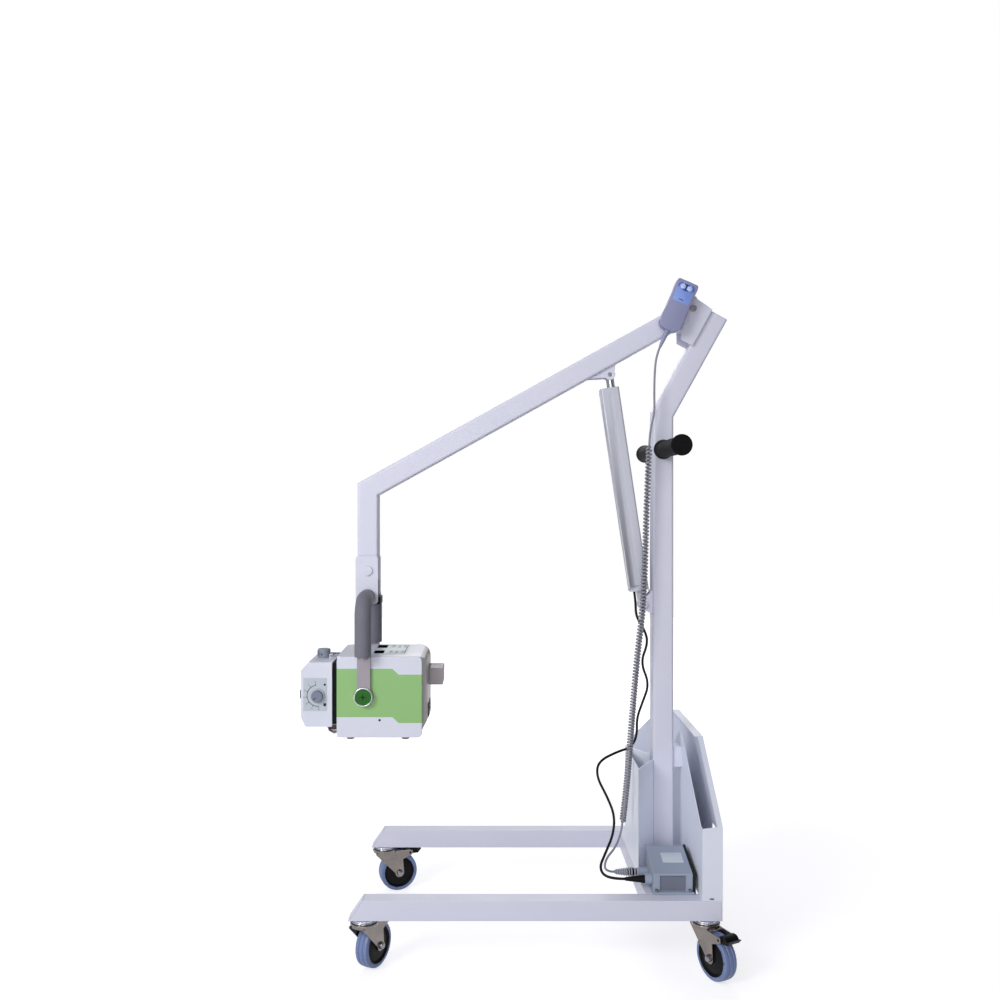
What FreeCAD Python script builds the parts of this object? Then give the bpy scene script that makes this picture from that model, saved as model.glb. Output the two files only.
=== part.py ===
import FreeCAD, Part
import math
import os

Vector = FreeCAD.Vector

# All lengths are millimetres. The part is drawn with x = 0 on the column's centreline and is moved
# along x by column_x when it is written out, so that its middle stands over the origin.
column_x = 359.0
floor_z = 0.0

# Clearances and small common sizes
gap = 0.4                # running clearance between pieces that move against each other
face_gap = 0.6           # side clearance at the big pivots
pin_clear = 0.3          # radial clearance of a pin in a moving piece
seat = 2.0               # a small step or lip
stroke_margin = 60.0     # rod left inside the actuator at full stroke

# Base frame
leg_width = 40.0
leg_height = 45.0
leg_middle_y = 225.0
leg_front_x = -732.0
leg_front_slant = 31.0
leg_rear_x = 88.5
tube_wall = 2.5
cap_thick = 2.0
cap_depth = 12.0
beam_front_x = -74.0
beam_rear_x = 26.0

# Castors
wheel_radius = 50.0
wheel_width = 32.0
tread_depth = 2.5
hub_radius = 40.0
axle_radius = 6.0
castor_height = 121.0
castor_trail = 35.0
mount_radius = 26.0
mount_thick = 6.0
king_pin_radius = 6.0
crown_radius = 31.0
crown_thick = 9.0
fork_plate = 3.0
fork_side_gap = 2.0
axle_end_radius = 12.0
pedal_pivot_x = 64.0
pedal_pivot_rise = 50.0
pedal_hub_radius = 6.5
pedal_pin_radius = 3.0
pedal_reach = 30.0
pedal_arch = 11.0
pedal_neck = 4.0
race_radius = 29.0
fork_waist = 9.0
front_castor_x = -700.0
rear_castor_x = 58.0
near_front_turn = 61.0
far_front_turn = 20.0
near_rear_turn = -62.0
far_rear_turn = 62.0

# Column
column_width = 50.0
column_corner = 6.0
column_wall = 3.0
bend_z = 1254.0
column_lean = 29.0
lean_length = 274.0

# Push bar
push_bar_z = 1169.0
push_bar_radius = 12.5
push_bar_wall = 2.0
push_bar_half = 250.0
grip_start_y = 27.0
grip_end_wall = 2.0
grip_radius = 20.0
grip_flare_radius = 24.0
grip_flare_length = 22.0

# Foot shroud
shroud_sheet = 2.5
shroud_half = 112.0
shroud_top_z = 418.0

# Detector pocket
pocket_sheet = 2.0
pocket_front_x = 46.0
pocket_depth = 45.0
pocket_half = leg_middle_y + leg_width / 2
pocket_shoulder_in = 20.0
pocket_low_z = 324.0
pocket_rear_low_z = 329.0
pocket_apex_z = 477.0
pocket_apex_half = 15.0
pocket_shoulder_y = pocket_half - pocket_shoulder_in
pocket_rear_top_z = 480.0
pocket_rear_peak_y = -47.0
pocket_top_flange = 20.0
pocket_slant_flange = 12.0
window_wide = 72.0
window_side = 25.0
window_outer_y = pocket_half - window_side
window_inner_y = window_outer_y - window_wide
window_low_z = 200.0
window_top_z = 308.0
end_wall_front_x = -35.0
end_wall_chamfer = 72.0
stand_screw_z = (432.0, 413.0)
stand_screw_y = 10.0
screw_radius = 3.0
screw_head_radius = 5.5
screw_head_thick = 3.5
spacer_half = 18.0
spacer_low_z = 398.0
spacer_top_z = 447.0

# Control box
box_front_x = -55.0
box_rear_x = 33.0
box_near_y = -208.0
box_far_y = -92.0
box_low_rise = 45.0
box_high_rise = 70.0
box_flange_x = 2.6
box_flange_y = 6.0
box_flange_thick = 6.0
box_corner = 5.0
box_recess_side = 15.0
box_recess_deep = 3.0
plug_socket_y = -182.0
plug_socket_rise = 24.0
plug_socket_radius = 13.0
plug_socket_long = 16.0
collar_y = -124.5
collar_rise = 18.0
collar_radius = 11.5
collar_long = 20.0
relief_long = 56.0
small_fitting_y = -150.0
small_fitting_radius = 5.0
small_fitting_long = 9.0
small_fitting_rise = 16.0

# Top pivot and cheeks
pivot_u = 257.0
pivot_n = 61.8
cheek_thick = 8.0
cheek_outline = ((178, 20), (178, 50), (206, 66), (235, 86), (283, 86), (283.6, 72.6), (278, 20))
pivot_bolt_radius = 5.0
bolt_head_radius = 7.5
bolt_head_thick = 6.5
stop_low_u = 200.0
stop_high_u = 222.0

# Lift arm
arm_droop = 29.0
arm_height = 50.0
arm_corner = 6.0
arm_wall = 3.0
arm_long = 900.0
arm_rear = 23.0
elbow_to_bolt = 196.7
arm_past_bolt = 26.0
end_bolt_radius = 6.0
lift_range = 78.0
gusset_along = 250.0
gusset_below = 41.0
gusset_start = 226.0
gusset_end = 300.0
gusset_plate = 4.0
gusset_inner_half = 12.0
relief_start = 182.0
relief_end = 268.0
relief_half = gusset_inner_half

# Actuator
foot_pin_x = -45.3
foot_pin_z = 791.6
foot_pin_radius = 5.0
bracket_low_z = 770.0
bracket_top_z = 826.0
bracket_plate = 4.0
bracket_ear = 5.0
bracket_inner_half = 11.0
bracket_ear_radius = 13.0
tongue_half = 10.0
tongue_radius = 11.0
housing_start = 36.0
rod_shown = 32.2
housing_size = 45.0
housing_offset = 6.0
housing_wall = 3.0
housing_cap_long = 14.0
rod_radius = 10.0
rod_eye_radius = 11.0
rod_eye_half = 9.0
rod_pin_radius = 5.0
guide_long = 24.0

# Hanger, handle and hubs
hanger_front = 28.4
hanger_rear = 25.6
hanger_inner_half = 27.0
hanger_plate = 4.0
hanger_top_rise = 36.0
handle_drop = 64.0
handle_radius = 12.5
handle_wall = 2.0
handle_offset = 18.0
handle_bend = 45.0
handle_leg_drop = 130.0
strap_half_width = 15.5
strap_thick = 5.0
strap_clear = 3.0
hub_drop = 226.0
hub_ring_radius = 22.0
hub_cap_radius = 18.8
hub_cap_long = 7.0
hub_pin_radius = 9.0
foam_radius = 19.5
foam_start = 31.5
saddle_radius = 18.0
saddle_half = 24.0
saddle_rear = 13.0

# X-ray head, measured from its hub
head_front = 64.4
head_rear = 148.6
head_half = 97.0
head_top = 92.7
head_bottom = 97.4
head_corner = 12.0
head_rear_chamfer = 38.0
head_chamfer_run = 22.0
head_rear_round = 24.0
cover_thick = 6.0
cover_rear = 136.6
back_steps = ((20.0, 0.0), (9.0, 7.0), (3.0, 19.0), (0.0, 36.0))
rear_block_long = 35.0
rear_block_low = 15.0
rear_block_high = 56.0
rear_block_half = 35.0
inlet_low = -58.0
inlet_high = -26.0
inlet_half = 24.0
bay_deep = 20.0
rocker_pin = 1.5
inlet_y = -10.0
rocker_half = 8.0
rocker_high = 11.0
rocker_thick = 6.0
rocker_frame = 4.0
foot_radius = 9.0
foot_high = 7.6
foot_inset_x = 30.0
foot_inset_y = 25.0
seal_long = 14.0
seal_inset = 9.0
collimator_long = 74.0
collimator_half = 76.0
collimator_low = 77.0
collimator_high = 76.0
collimator_chamfer = 22.0
collimator_chin = 11.0
collimator_brow_run = 17.6
collimator_brow_drop = 18.7
window_half = 45.0
window_thick = 3.0
window_recess = 2.0
top_knob_radius = 15.5
top_knob_high = 21.0
top_knob_x = 43.0
side_knob_x = 41.0
side_knob_drop = 3.0
side_knob_radius = 16.0
side_knob_skirt = 4.0
side_grip_radius = 10.5
side_grip_long = 10.0
dial_plate = 1.0
dial_plate_front = 6.0
dial_plate_rear = 61.5
dial_plate_half = 39.0
knob_pin_radius = 4.0
latch_wire = 1.8
latch_half = 20.0
latch_boss = 5.0
latch_stand = 6.0

# Handset
handset_x = 29.0
handset_y = -53.0
handset_z = 1510.0
handset_lean = 23.5
handset_long = 124.0
handset_wide = 52.0
handset_thick = 26.0
handset_round = 17.0
handset_top_round = 5.0
button_radius = 6.0
button_high = 3.0
button_travel = 1.5
button_rise = 46.0
button_apart = 8.5
button_well = 6.0
hook_thick = 3.0
hook_wide = 24.0
hook_drop = 30.0
grommet_radius = 7.0
grommet_end_radius = 3.5
grommet_long = 43.0

# Cords
lead_radius = 2.5
curl_radius = 8.5
cable_radius = 3.0
lead_run = 22.0
cord_face_gap = 0.4
plug_long = 44.0
cable_y = -8.0
cable_front_offset = 12.0
cable_run = 26.0
tail_clear = 24.0
plug_radius = 9.0
rib_count = 9
rib_deep = 1.6

# Derived places
leg_bottom_z = floor_z + castor_height
leg_top_z = leg_bottom_z + leg_height
leg_inner_y = leg_middle_y - leg_width / 2
leg_outer_y = leg_middle_y + leg_width / 2
column_half = column_width / 2
lean = math.radians(column_lean)
lean_u = Vector(math.sin(lean), 0, math.cos(lean))
lean_n = Vector(-math.cos(lean), 0, math.sin(lean))
bend = Vector(0, 0, bend_z)
pivot = bend + lean_u * pivot_u + lean_n * pivot_n
droop = math.radians(arm_droop)
arm_half = column_half - face_gap
cheek_outer = column_half + cheek_thick
elbow = pivot + Vector(-math.cos(droop), 0, -math.sin(droop)) * arm_long
hang = elbow - Vector(0, 0, elbow_to_bolt)
hub = hang - Vector(0, 0, handle_drop + hub_drop)
foot_pin = Vector(foot_pin_x, 0, foot_pin_z)
wheel_z = floor_z + wheel_radius
pocket_rear_x = pocket_front_x + pocket_depth
strap_inner_half = head_half + strap_clear
handle_half = strap_inner_half + handle_offset
head_front_x = hub.x - head_front
head_rear_x = hub.x + head_rear
seal_front_x = head_front_x - seal_long
collimator_front_x = seal_front_x - collimator_long


def arm_point(along, below, lift=0.0):
    """Give the place of a point on the arm, measured from the pivot, at a lift angle in degrees."""
    a = droop - math.radians(lift)
    return pivot + Vector(-math.cos(a), 0, -math.sin(a)) * along + Vector(math.sin(a), 0, -math.cos(a)) * below


def reach_and_tilt(lift):
    """Give the actuator's pin-to-pin length and its tilt toward the front, in degrees."""
    line = arm_point(gusset_along, gusset_below, lift) - foot_pin
    return line.Length, math.degrees(math.atan2(-line.x, line.z))


rod_rest, tilt_rest = reach_and_tilt(0.0)
rod_full, tilt_full = reach_and_tilt(lift_range)
rod_stroke = rod_full - rod_rest
housing_long = rod_rest - housing_start - rod_shown
guide_radius = housing_size / 2 - housing_wall - housing_offset - gap


def block(x0, x1, y0, y1, z0, z1):
    """Make a box between two corners."""
    return Part.makeBox(x1 - x0, y1 - y0, z1 - z0, Vector(x0, y0, z0))


def prism(points, start, along):
    """Extrude a closed outline; start turns an outline pair into a point."""
    corners = [start(a, b) for a, b in points]
    return Part.Face(Part.makePolygon(corners + corners[:1])).extrude(along)


def prism_xz(points, y0, y1):
    """Extrude an outline of x and z from y0 to y1."""
    return prism(points, lambda x, z: Vector(x, y0, z), Vector(0, y1 - y0, 0))


def prism_yz(points, x0, x1):
    """Extrude an outline of y and z from x0 to x1."""
    return prism(points, lambda y, z: Vector(x0, y, z), Vector(x1 - x0, 0, 0))


def prism_xy(points, z0, z1):
    """Extrude an outline of x and y from z0 to z1."""
    return prism(points, lambda x, y: Vector(x, y, z0), Vector(0, 0, z1 - z0))


def pin_y(x, z, radius, y0, y1):
    """Make a cylinder along y."""
    return Part.makeCylinder(radius, y1 - y0, Vector(x, y0, z), Vector(0, 1, 0))


def pin_x(y, z, radius, x0, x1):
    """Make a cylinder along x."""
    return Part.makeCylinder(radius, x1 - x0, Vector(x0, y, z), Vector(1, 0, 0))


def pin_z(x, y, radius, z0, z1):
    """Make a cylinder along z."""
    return Part.makeCylinder(radius, z1 - z0, Vector(x, y, z0), Vector(0, 0, 1))


def edges_along(shape, axis):
    """List the straight edges that run along an axis."""
    found = []
    for edge in shape.Edges:
        if edge.Curve.TypeId == "Part::GeomLine" and abs(abs(edge.Curve.Direction.dot(axis)) - 1.0) < 1e-6:
            found.append(edge)
    return found


def rounded(shape, axis, radius):
    """Round the edges of a shape that run along an axis."""
    return shape.makeFillet(radius, edges_along(shape, axis))


def turned(shape, angle, origin):
    """Lean a shape about y by an angle in degrees and move it to an origin."""
    copy = shape.copy()
    copy.rotate(Vector(0, 0, 0), Vector(0, 1, 0), angle)
    copy.translate(origin)
    return copy


def square_bar(x_half, y_half, length, corner, wall):
    """Make a square tube, or a bar when wall is nothing, standing on z = 0."""
    bar = rounded(block(-x_half, x_half, -y_half, y_half, 0, length), Vector(0, 0, 1), corner)
    if wall:
        inner = block(-x_half + wall, x_half - wall, -y_half + wall, y_half - wall, -seat, length + seat)
        bar = bar.cut(rounded(inner, Vector(0, 0, 1), max(corner - wall, seat / 2)))
    return bar


def mitred_tube(points, x_half, y_half, corner, wall):
    """Join square tubes along points of the mid plane with mitred corners."""
    spare = 2 * (x_half + y_half)
    whole = None
    for index in range(len(points) - 1):
        run = points[index + 1] - points[index]
        angle = math.degrees(math.atan2(run.x, run.z))
        before = spare if index > 0 else 0.0
        after = spare if index < len(points) - 2 else 0.0
        piece = square_bar(x_half, y_half, run.Length + before + after, corner, wall)
        piece.translate(Vector(0, 0, -before))
        piece = turned(piece, angle, points[index])
        for corner_index, keep_after in ((index, True), (index + 1, False)):
            if corner_index in (0, len(points) - 1):
                continue
            first = points[corner_index] - points[corner_index - 1]
            second = points[corner_index + 1] - points[corner_index]
            first.normalize()
            second.normalize()
            middle = first + second
            lean_angle = math.degrees(math.atan2(middle.x, middle.z))
            size = 4 * spare
            low = -size if keep_after else 0.0
            cutter = block(-size, size, -size, size, low, low + size)
            piece = piece.cut(turned(cutter, lean_angle, points[corner_index]))
        whole = piece if whole is None else whole.fuse(piece)
    return whole.removeSplitter()


def bolt_y(x, z, shank, head, thick, y_near, y_far):
    """Make a through bolt along y with a head at one side and a nut at the other."""
    body = pin_y(x, z, shank, y_near, y_far)
    body = body.fuse(pin_y(x, z, head, y_near - thick, y_near))
    return body.fuse(pin_y(x, z, head, y_far, y_far + thick))


def cord(points, radius):
    """Sweep a round cord along straight runs joined by arcs that touch them."""
    edges = []
    start = points[0]
    length = 0.0
    smallest = None
    for index in range(1, len(points) - 1):
        back = points[index - 1] - points[index]
        ahead = points[index + 1] - points[index]
        short = min(back.Length, ahead.Length)
        back.normalize()
        ahead.normalize()
        turn = math.pi - back.getAngle(ahead)
        setback = 0.45 * short
        arc_radius = setback / math.tan(turn / 2)
        smallest = arc_radius if smallest is None else min(smallest, arc_radius)
        enter = points[index] + back * setback
        leave = points[index] + ahead * setback
        inward = back + ahead
        inward.normalize()
        centre = points[index] + inward * (arc_radius / math.cos(turn / 2))
        crown = centre - inward * arc_radius
        edges.append(Part.LineSegment(start, enter).toShape())
        edges.append(Part.Arc(enter, crown, leave).toShape())
        start = leave
    edges.append(Part.LineSegment(start, points[-1]).toShape())
    wire = Part.Wire(edges)
    first = points[1] - points[0]
    ring = Part.Wire([Part.makeCircle(radius, points[0], first)])
    tube = wire.makePipeShell([ring], True, True)
    expected = math.pi * radius * radius * wire.Length
    print("cord", round(wire.Length, 1), "smallest radius", round(smallest or 0.0, 1),
          "volume share", round(tube.Volume / expected, 4))
    return tube


pieces = {}


def add(name, *shapes):
    """Keep the solids of one node under its name."""
    solids = []
    for shape in shapes:
        solids.extend(shape.Solids)
    pieces[name] = solids[0] if len(solids) == 1 else Part.makeCompound(solids)


# Legs with slanted front ends, the cross beam between them, and their end caps
leg_outline = ((leg_front_x, leg_bottom_z), (leg_rear_x, leg_bottom_z), (leg_rear_x, leg_top_z),
               (leg_front_x + leg_front_slant, leg_top_z))
slant_run = leg_front_slant / leg_height
caps = []
for name, side in (("near_leg", -1), ("far_leg", 1)):
    y0 = side * leg_middle_y - leg_width / 2
    y1 = y0 + leg_width
    hollow = block(leg_front_x - seat, leg_rear_x + seat, y0 + tube_wall, y1 - tube_wall,
                   leg_bottom_z + tube_wall, leg_top_z - tube_wall)
    add(name, prism_xz(leg_outline, y0, y1).cut(hollow))
    in0 = y0 + tube_wall + gap
    in1 = y1 - tube_wall - gap
    low = leg_bottom_z + tube_wall + gap
    high = leg_top_z - tube_wall - gap
    face_low = leg_front_x + slant_run * (low - leg_bottom_z)
    face_high = leg_front_x + slant_run * (high - leg_bottom_z)
    front_plate = prism_xz(((leg_front_x - cap_thick, leg_bottom_z), (leg_front_x, leg_bottom_z),
                            (leg_front_x + leg_front_slant, leg_top_z),
                            (leg_front_x + leg_front_slant - cap_thick, leg_top_z)), y0, y1)
    front_spigot = prism_xz(((face_low, low), (face_low + cap_depth, low), (face_high + cap_depth, high),
                             (face_high, high)), in0, in1)
    caps.append(front_plate.fuse(front_spigot))
    rear_plate = block(leg_rear_x, leg_rear_x + cap_thick, y0, y1, leg_bottom_z, leg_top_z)
    caps.append(rear_plate.fuse(block(leg_rear_x - cap_depth, leg_rear_x, in0, in1, low, high)))

cross = block(beam_front_x, beam_rear_x, -leg_inner_y, leg_inner_y, leg_bottom_z, leg_top_z)
cross = cross.cut(block(beam_front_x + tube_wall, beam_rear_x - tube_wall, -leg_inner_y - seat, leg_inner_y + seat,
                        leg_bottom_z + tube_wall, leg_top_z - tube_wall))
add("cross_beam", cross)

# Column with its leaning top and the hole for the push bar
column_points = (Vector(0, 0, leg_top_z), bend, bend + lean_u * lean_length)
column = mitred_tube(column_points, column_half, column_half, column_corner, column_wall)
column = column.cut(pin_y(0, push_bar_z, push_bar_radius, -column_width, column_width))
add("column_tube", column)
column_cap = rounded(block(-column_half, column_half, -column_half, column_half, 0, cap_thick),
                     Vector(0, 0, 1), column_corner)
cap_inner = column_half - column_wall - gap
column_cap = column_cap.fuse(block(-cap_inner + seat, cap_inner - seat, -cap_inner + seat, cap_inner - seat,
                                   -cap_depth, 0))
caps.append(turned(column_cap, column_lean, column_points[2]))
add("tube_caps", *caps)

# Folded shroud around the column's foot
diagonal_slope = (shroud_half - column_half) / (-column_half - beam_front_x)
diagonal_shift = shroud_sheet * math.hypot(1, diagonal_slope)


def shroud_y(x, inset=0.0):
    """Give the half width of the shroud's slanted wall at a place along x."""
    return shroud_half - (x - beam_front_x) * diagonal_slope - inset


shroud_outer = ((beam_front_x, -shroud_half), (beam_front_x, shroud_half), (-column_half, column_half),
                (-column_half, -column_half))
inner_front = beam_front_x + shroud_sheet
shroud_inner = ((inner_front, -shroud_y(inner_front, diagonal_shift)), (inner_front, shroud_y(inner_front, diagonal_shift)),
                (-column_half + seat, shroud_y(-column_half + seat, diagonal_shift)),
                (-column_half + seat, -shroud_y(-column_half + seat, diagonal_shift)))
shroud = prism_xy(shroud_outer, leg_top_z, shroud_top_z)
shroud = shroud.cut(prism_xy(shroud_inner, leg_top_z - seat, shroud_top_z + seat))
add("foot_shroud", shroud)

# Detector pocket folded from sheet, with its tall far end wall
front_x1 = pocket_front_x + pocket_sheet
rear_x0 = pocket_rear_x - pocket_sheet
front_outline = ((-pocket_half, leg_top_z), (pocket_half, leg_top_z), (pocket_half, pocket_low_z),
                 (pocket_shoulder_y, pocket_low_z), (pocket_apex_half, pocket_apex_z),
                 (-pocket_apex_half, pocket_apex_z), (-pocket_shoulder_y, pocket_low_z), (-pocket_half, pocket_low_z))
rear_outline = ((-pocket_half, leg_top_z), (pocket_half, leg_top_z), (pocket_half, pocket_rear_top_z),
                (pocket_rear_peak_y, pocket_rear_top_z), (-pocket_half, pocket_rear_low_z))
front_panel = prism_yz(front_outline, pocket_front_x, front_x1)
rear_panel = prism_yz(rear_outline, rear_x0, pocket_rear_x)
for side in (-1, 1):
    y0, y1 = sorted((side * window_inner_y, side * window_outer_y))
    rear_panel = rear_panel.cut(rounded(block(rear_x0 - seat, pocket_rear_x + seat, y0, y1, window_low_z, window_top_z),
                                        Vector(1, 0, 0), seat * 2))
floor_sheet = block(pocket_front_x, pocket_rear_x, -pocket_half, pocket_half, leg_top_z, leg_top_z + pocket_sheet)
near_wall = prism_xz(((pocket_front_x, leg_top_z), (pocket_rear_x, leg_top_z), (pocket_rear_x, pocket_rear_low_z),
                      (pocket_front_x, pocket_low_z)), -pocket_half, -pocket_half + pocket_sheet)
far_wall = prism_xz(((end_wall_front_x, leg_top_z), (pocket_rear_x, leg_top_z), (pocket_rear_x, pocket_rear_top_z),
                     (end_wall_front_x + end_wall_chamfer, pocket_rear_top_z),
                     (end_wall_front_x, pocket_rear_top_z - end_wall_chamfer)), pocket_half - pocket_sheet, pocket_half)
top_flange = block(pocket_rear_x - pocket_top_flange, pocket_rear_x, pocket_rear_peak_y, pocket_half,
                   pocket_rear_top_z - pocket_sheet, pocket_rear_top_z)
slant_rise = (pocket_rear_top_z - pocket_rear_low_z) / (pocket_rear_peak_y + pocket_half)
slant_drop = pocket_sheet * math.hypot(1, slant_rise)
slant_flange = prism_yz(((-pocket_half, pocket_rear_low_z), (pocket_rear_peak_y, pocket_rear_top_z),
                         (pocket_rear_peak_y, pocket_rear_top_z - slant_drop),
                         (-pocket_half, pocket_rear_low_z - slant_drop)),
                        pocket_rear_x - pocket_slant_flange, pocket_rear_x)
pocket = floor_sheet
for sheet in (front_panel, rear_panel, near_wall, far_wall, top_flange, slant_flange):
    pocket = pocket.fuse(sheet)
for height in stand_screw_z:
    pocket = pocket.cut(pin_x(stand_screw_y, height, screw_radius, pocket_front_x - seat, front_x1 + seat))
add("detector_pocket", pocket.removeSplitter())

spacer = block(column_half, pocket_front_x, -spacer_half, spacer_half, spacer_low_z, spacer_top_z)
screws = []
for height in stand_screw_z:
    shank = pin_x(stand_screw_y, height, screw_radius, column_half + seat, front_x1)
    spacer = spacer.cut(shank)
    screws.append(shank.fuse(pin_x(stand_screw_y, height, screw_head_radius, front_x1, front_x1 + screw_head_thick)))
add("pocket_spacer", spacer)

# Control box with a sloping lid and a base flange held by four screws
box_outline = ((box_near_y, leg_top_z + box_flange_thick), (box_far_y, leg_top_z + box_flange_thick),
               (box_far_y, leg_top_z + box_high_rise), (box_near_y, leg_top_z + box_low_rise))
box_body = rounded(prism_yz(box_outline, box_front_x, box_rear_x), Vector(1, 0, 0), box_corner)
box_base = block(box_front_x - box_flange_x, box_rear_x + box_flange_x, box_near_y - box_flange_y, box_far_y,
                 leg_top_z, leg_top_z + box_flange_thick)
box_body = box_body.fuse(block(box_front_x, box_rear_x, box_near_y, box_far_y, leg_top_z + box_flange_thick,
                               leg_top_z + box_flange_thick + box_corner))
box_whole = box_body.fuse(box_base).removeSplitter()
box_whole = box_whole.cut(block(box_front_x + box_recess_side, box_rear_x - box_recess_side, box_near_y - seat,
                                box_near_y + box_recess_deep,
                                leg_top_z + box_flange_thick, leg_top_z + box_low_rise - box_corner))
lug = screw_head_radius + seat / 2
for x in (box_front_x + lug, box_rear_x - lug):
    y = box_near_y - box_flange_y + screw_radius
    top = leg_top_z + box_flange_thick
    screws.append(pin_z(x, y, screw_radius - seat / 4, top, top + screw_head_thick))
add("control_box", box_whole)
add("stand_screws", *screws)

socket_solids = []
for y, rise, radius, long in ((plug_socket_y, plug_socket_rise, plug_socket_radius, plug_socket_long),
                              (collar_y, collar_rise, collar_radius, collar_long),
                              (small_fitting_y, small_fitting_rise, small_fitting_radius, small_fitting_long)):
    socket_solids.append(pin_x(y, leg_top_z + rise, radius, box_front_x - long, box_front_x))
add("control_sockets", *socket_solids)

# Cheeks at the top of the column, with the stop that the arm rests on
def lean_point(u, n, y=0.0):
    """Give a point from its place along and in front of the leaning column."""
    return bend + lean_u * u + lean_n * n + Vector(0, y, 0)


cheeks = []
for side in (-1, 1):
    y0 = column_half if side > 0 else -cheek_outer
    plate = prism(cheek_outline, lambda u, n: lean_point(u, n, y0), Vector(0, cheek_thick, 0))
    plate = plate.cut(pin_y(pivot.x, pivot.z, pivot_bolt_radius, y0 - seat, y0 + cheek_thick + seat))
    cheeks.append(plate)


def underside_n(u, clear):
    """Give how far the underside of the resting arm stands in front of the column's centreline."""
    direction = Vector(-math.cos(droop), 0, -math.sin(droop))
    low_side = Vector(math.sin(droop), 0, -math.cos(droop))
    start = pivot + low_side * (column_half + clear)
    run_u = direction.dot(lean_u)
    run_n = direction.dot(lean_n)
    start_u = (start - bend).dot(lean_u)
    start_n = (start - bend).dot(lean_n)
    return start_n + (u - start_u) / run_u * run_n


stop_outline = ((stop_low_u, column_half), (stop_high_u, column_half), (stop_high_u, underside_n(stop_high_u, gap)),
                (stop_low_u, underside_n(stop_low_u, gap)))
stop = prism(stop_outline, lambda u, n: lean_point(u, n, -column_half), Vector(0, column_width, 0))
add("pivot_cheeks", cheeks[0].fuse(cheeks[1]).fuse(stop))
add("pivot_bolt", bolt_y(pivot.x, pivot.z, pivot_bolt_radius, bolt_head_radius, bolt_head_thick,
                         -cheek_outer, cheek_outer))

# Bracket for the actuator's foot
ear_outer = bracket_inner_half + bracket_ear
bracket = block(-column_half - bracket_plate, -column_half, -ear_outer, ear_outer, bracket_low_z, bracket_top_z)
for y0 in (-ear_outer, bracket_inner_half):
    ear = prism_xz(((-column_half, bracket_low_z), (-column_half, bracket_top_z),
                    (foot_pin_x, foot_pin_z + bracket_ear_radius), (foot_pin_x, foot_pin_z - bracket_ear_radius)),
                   y0, y0 + bracket_ear)
    ear = ear.fuse(pin_y(foot_pin_x, foot_pin_z, bracket_ear_radius, y0, y0 + bracket_ear))
    bracket = bracket.fuse(ear)
bracket = bracket.cut(pin_y(foot_pin_x, foot_pin_z, foot_pin_radius, -ear_outer - seat, ear_outer + seat))
foot_bolt = bolt_y(foot_pin_x, foot_pin_z, foot_pin_radius, bracket_ear_radius - bracket_plate, bracket_plate,
                   -ear_outer, ear_outer)
add("actuator_bracket", bracket.removeSplitter(), foot_bolt)

# Push bar and its two foam grips
bar = pin_y(0, push_bar_z, push_bar_radius, -push_bar_half, push_bar_half)
bar = bar.cut(pin_y(0, push_bar_z, push_bar_radius - push_bar_wall, -push_bar_half - seat, push_bar_half + seat))
add("push_bar", bar)
grip_end = push_bar_half + grip_end_wall
grip_profile = ((grip_start_y, push_bar_radius), (grip_start_y, grip_flare_radius),
                (grip_start_y + grip_flare_length, grip_radius), (grip_end - grip_flare_length, grip_radius),
                (grip_end - seat, grip_flare_radius), (grip_end, grip_flare_radius - seat), (grip_end, 0),
                (push_bar_half, 0), (push_bar_half, push_bar_radius))
grips = []
for side in (-1, 1):
    corners = [Vector(r, side * y, push_bar_z) for y, r in grip_profile]
    face = Part.Face(Part.makePolygon(corners + corners[:1]))
    grips.append(face.revolve(Vector(0, 0, push_bar_z), Vector(0, 1, 0), 360))
add("push_grips", *grips)

# Castors: fixed mounts, then fork, wheel and brake pedal drawn facing +x and turned
castors = (("near_front", front_castor_x, -leg_middle_y, near_front_turn),
           ("far_front", front_castor_x, leg_middle_y, far_front_turn),
           ("near_rear", rear_castor_x, -leg_middle_y, near_rear_turn),
           ("far_rear", rear_castor_x, leg_middle_y, far_rear_turn))
mount_low = leg_bottom_z - mount_thick
crown_top = mount_low - gap
crown_low = crown_top - crown_thick
fork_inner = wheel_width / 2 + fork_side_gap
fork_outer = fork_inner + fork_plate
pedal_z = wheel_z + pedal_pivot_rise
mounts = []


def castor_placed(shape, x, y, turn):
    """Turn a castor piece about its swivel axis and move it under the leg."""
    copy = shape.copy()
    copy.rotate(Vector(0, 0, 0), Vector(0, 0, 1), turn)
    copy.translate(Vector(x, y, 0))
    return copy


race_profile = ((0, mount_low), (race_radius - seat, mount_low), (race_radius, mount_low + seat / 2),
                (race_radius, mount_low + seat), (race_radius - seat / 2, mount_low + seat * 1.5),
                (mount_radius, mount_low + seat * 2), (mount_radius, leg_bottom_z), (0, leg_bottom_z))
race_corners = [Vector(radius, 0, z) for radius, z in race_profile]
mount = Part.Face(Part.makePolygon(race_corners + race_corners[:1])).revolve(Vector(0, 0, 0), Vector(0, 0, 1), 360)
mount = mount.fuse(pin_z(0, 0, king_pin_radius, crown_low - gap, leg_bottom_z))
mount = mount.fuse(pin_z(0, 0, king_pin_radius + seat, crown_low - gap - seat, crown_low - gap))
fork = pin_z(0, 0, crown_radius, crown_low, crown_top)
fork = fork.makeFillet(seat, [edge for edge in fork.Edges if edge.Curve.TypeId == "Part::GeomCircle"
                              and edge.CenterOfMass.z > crown_top - gap])
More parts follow.
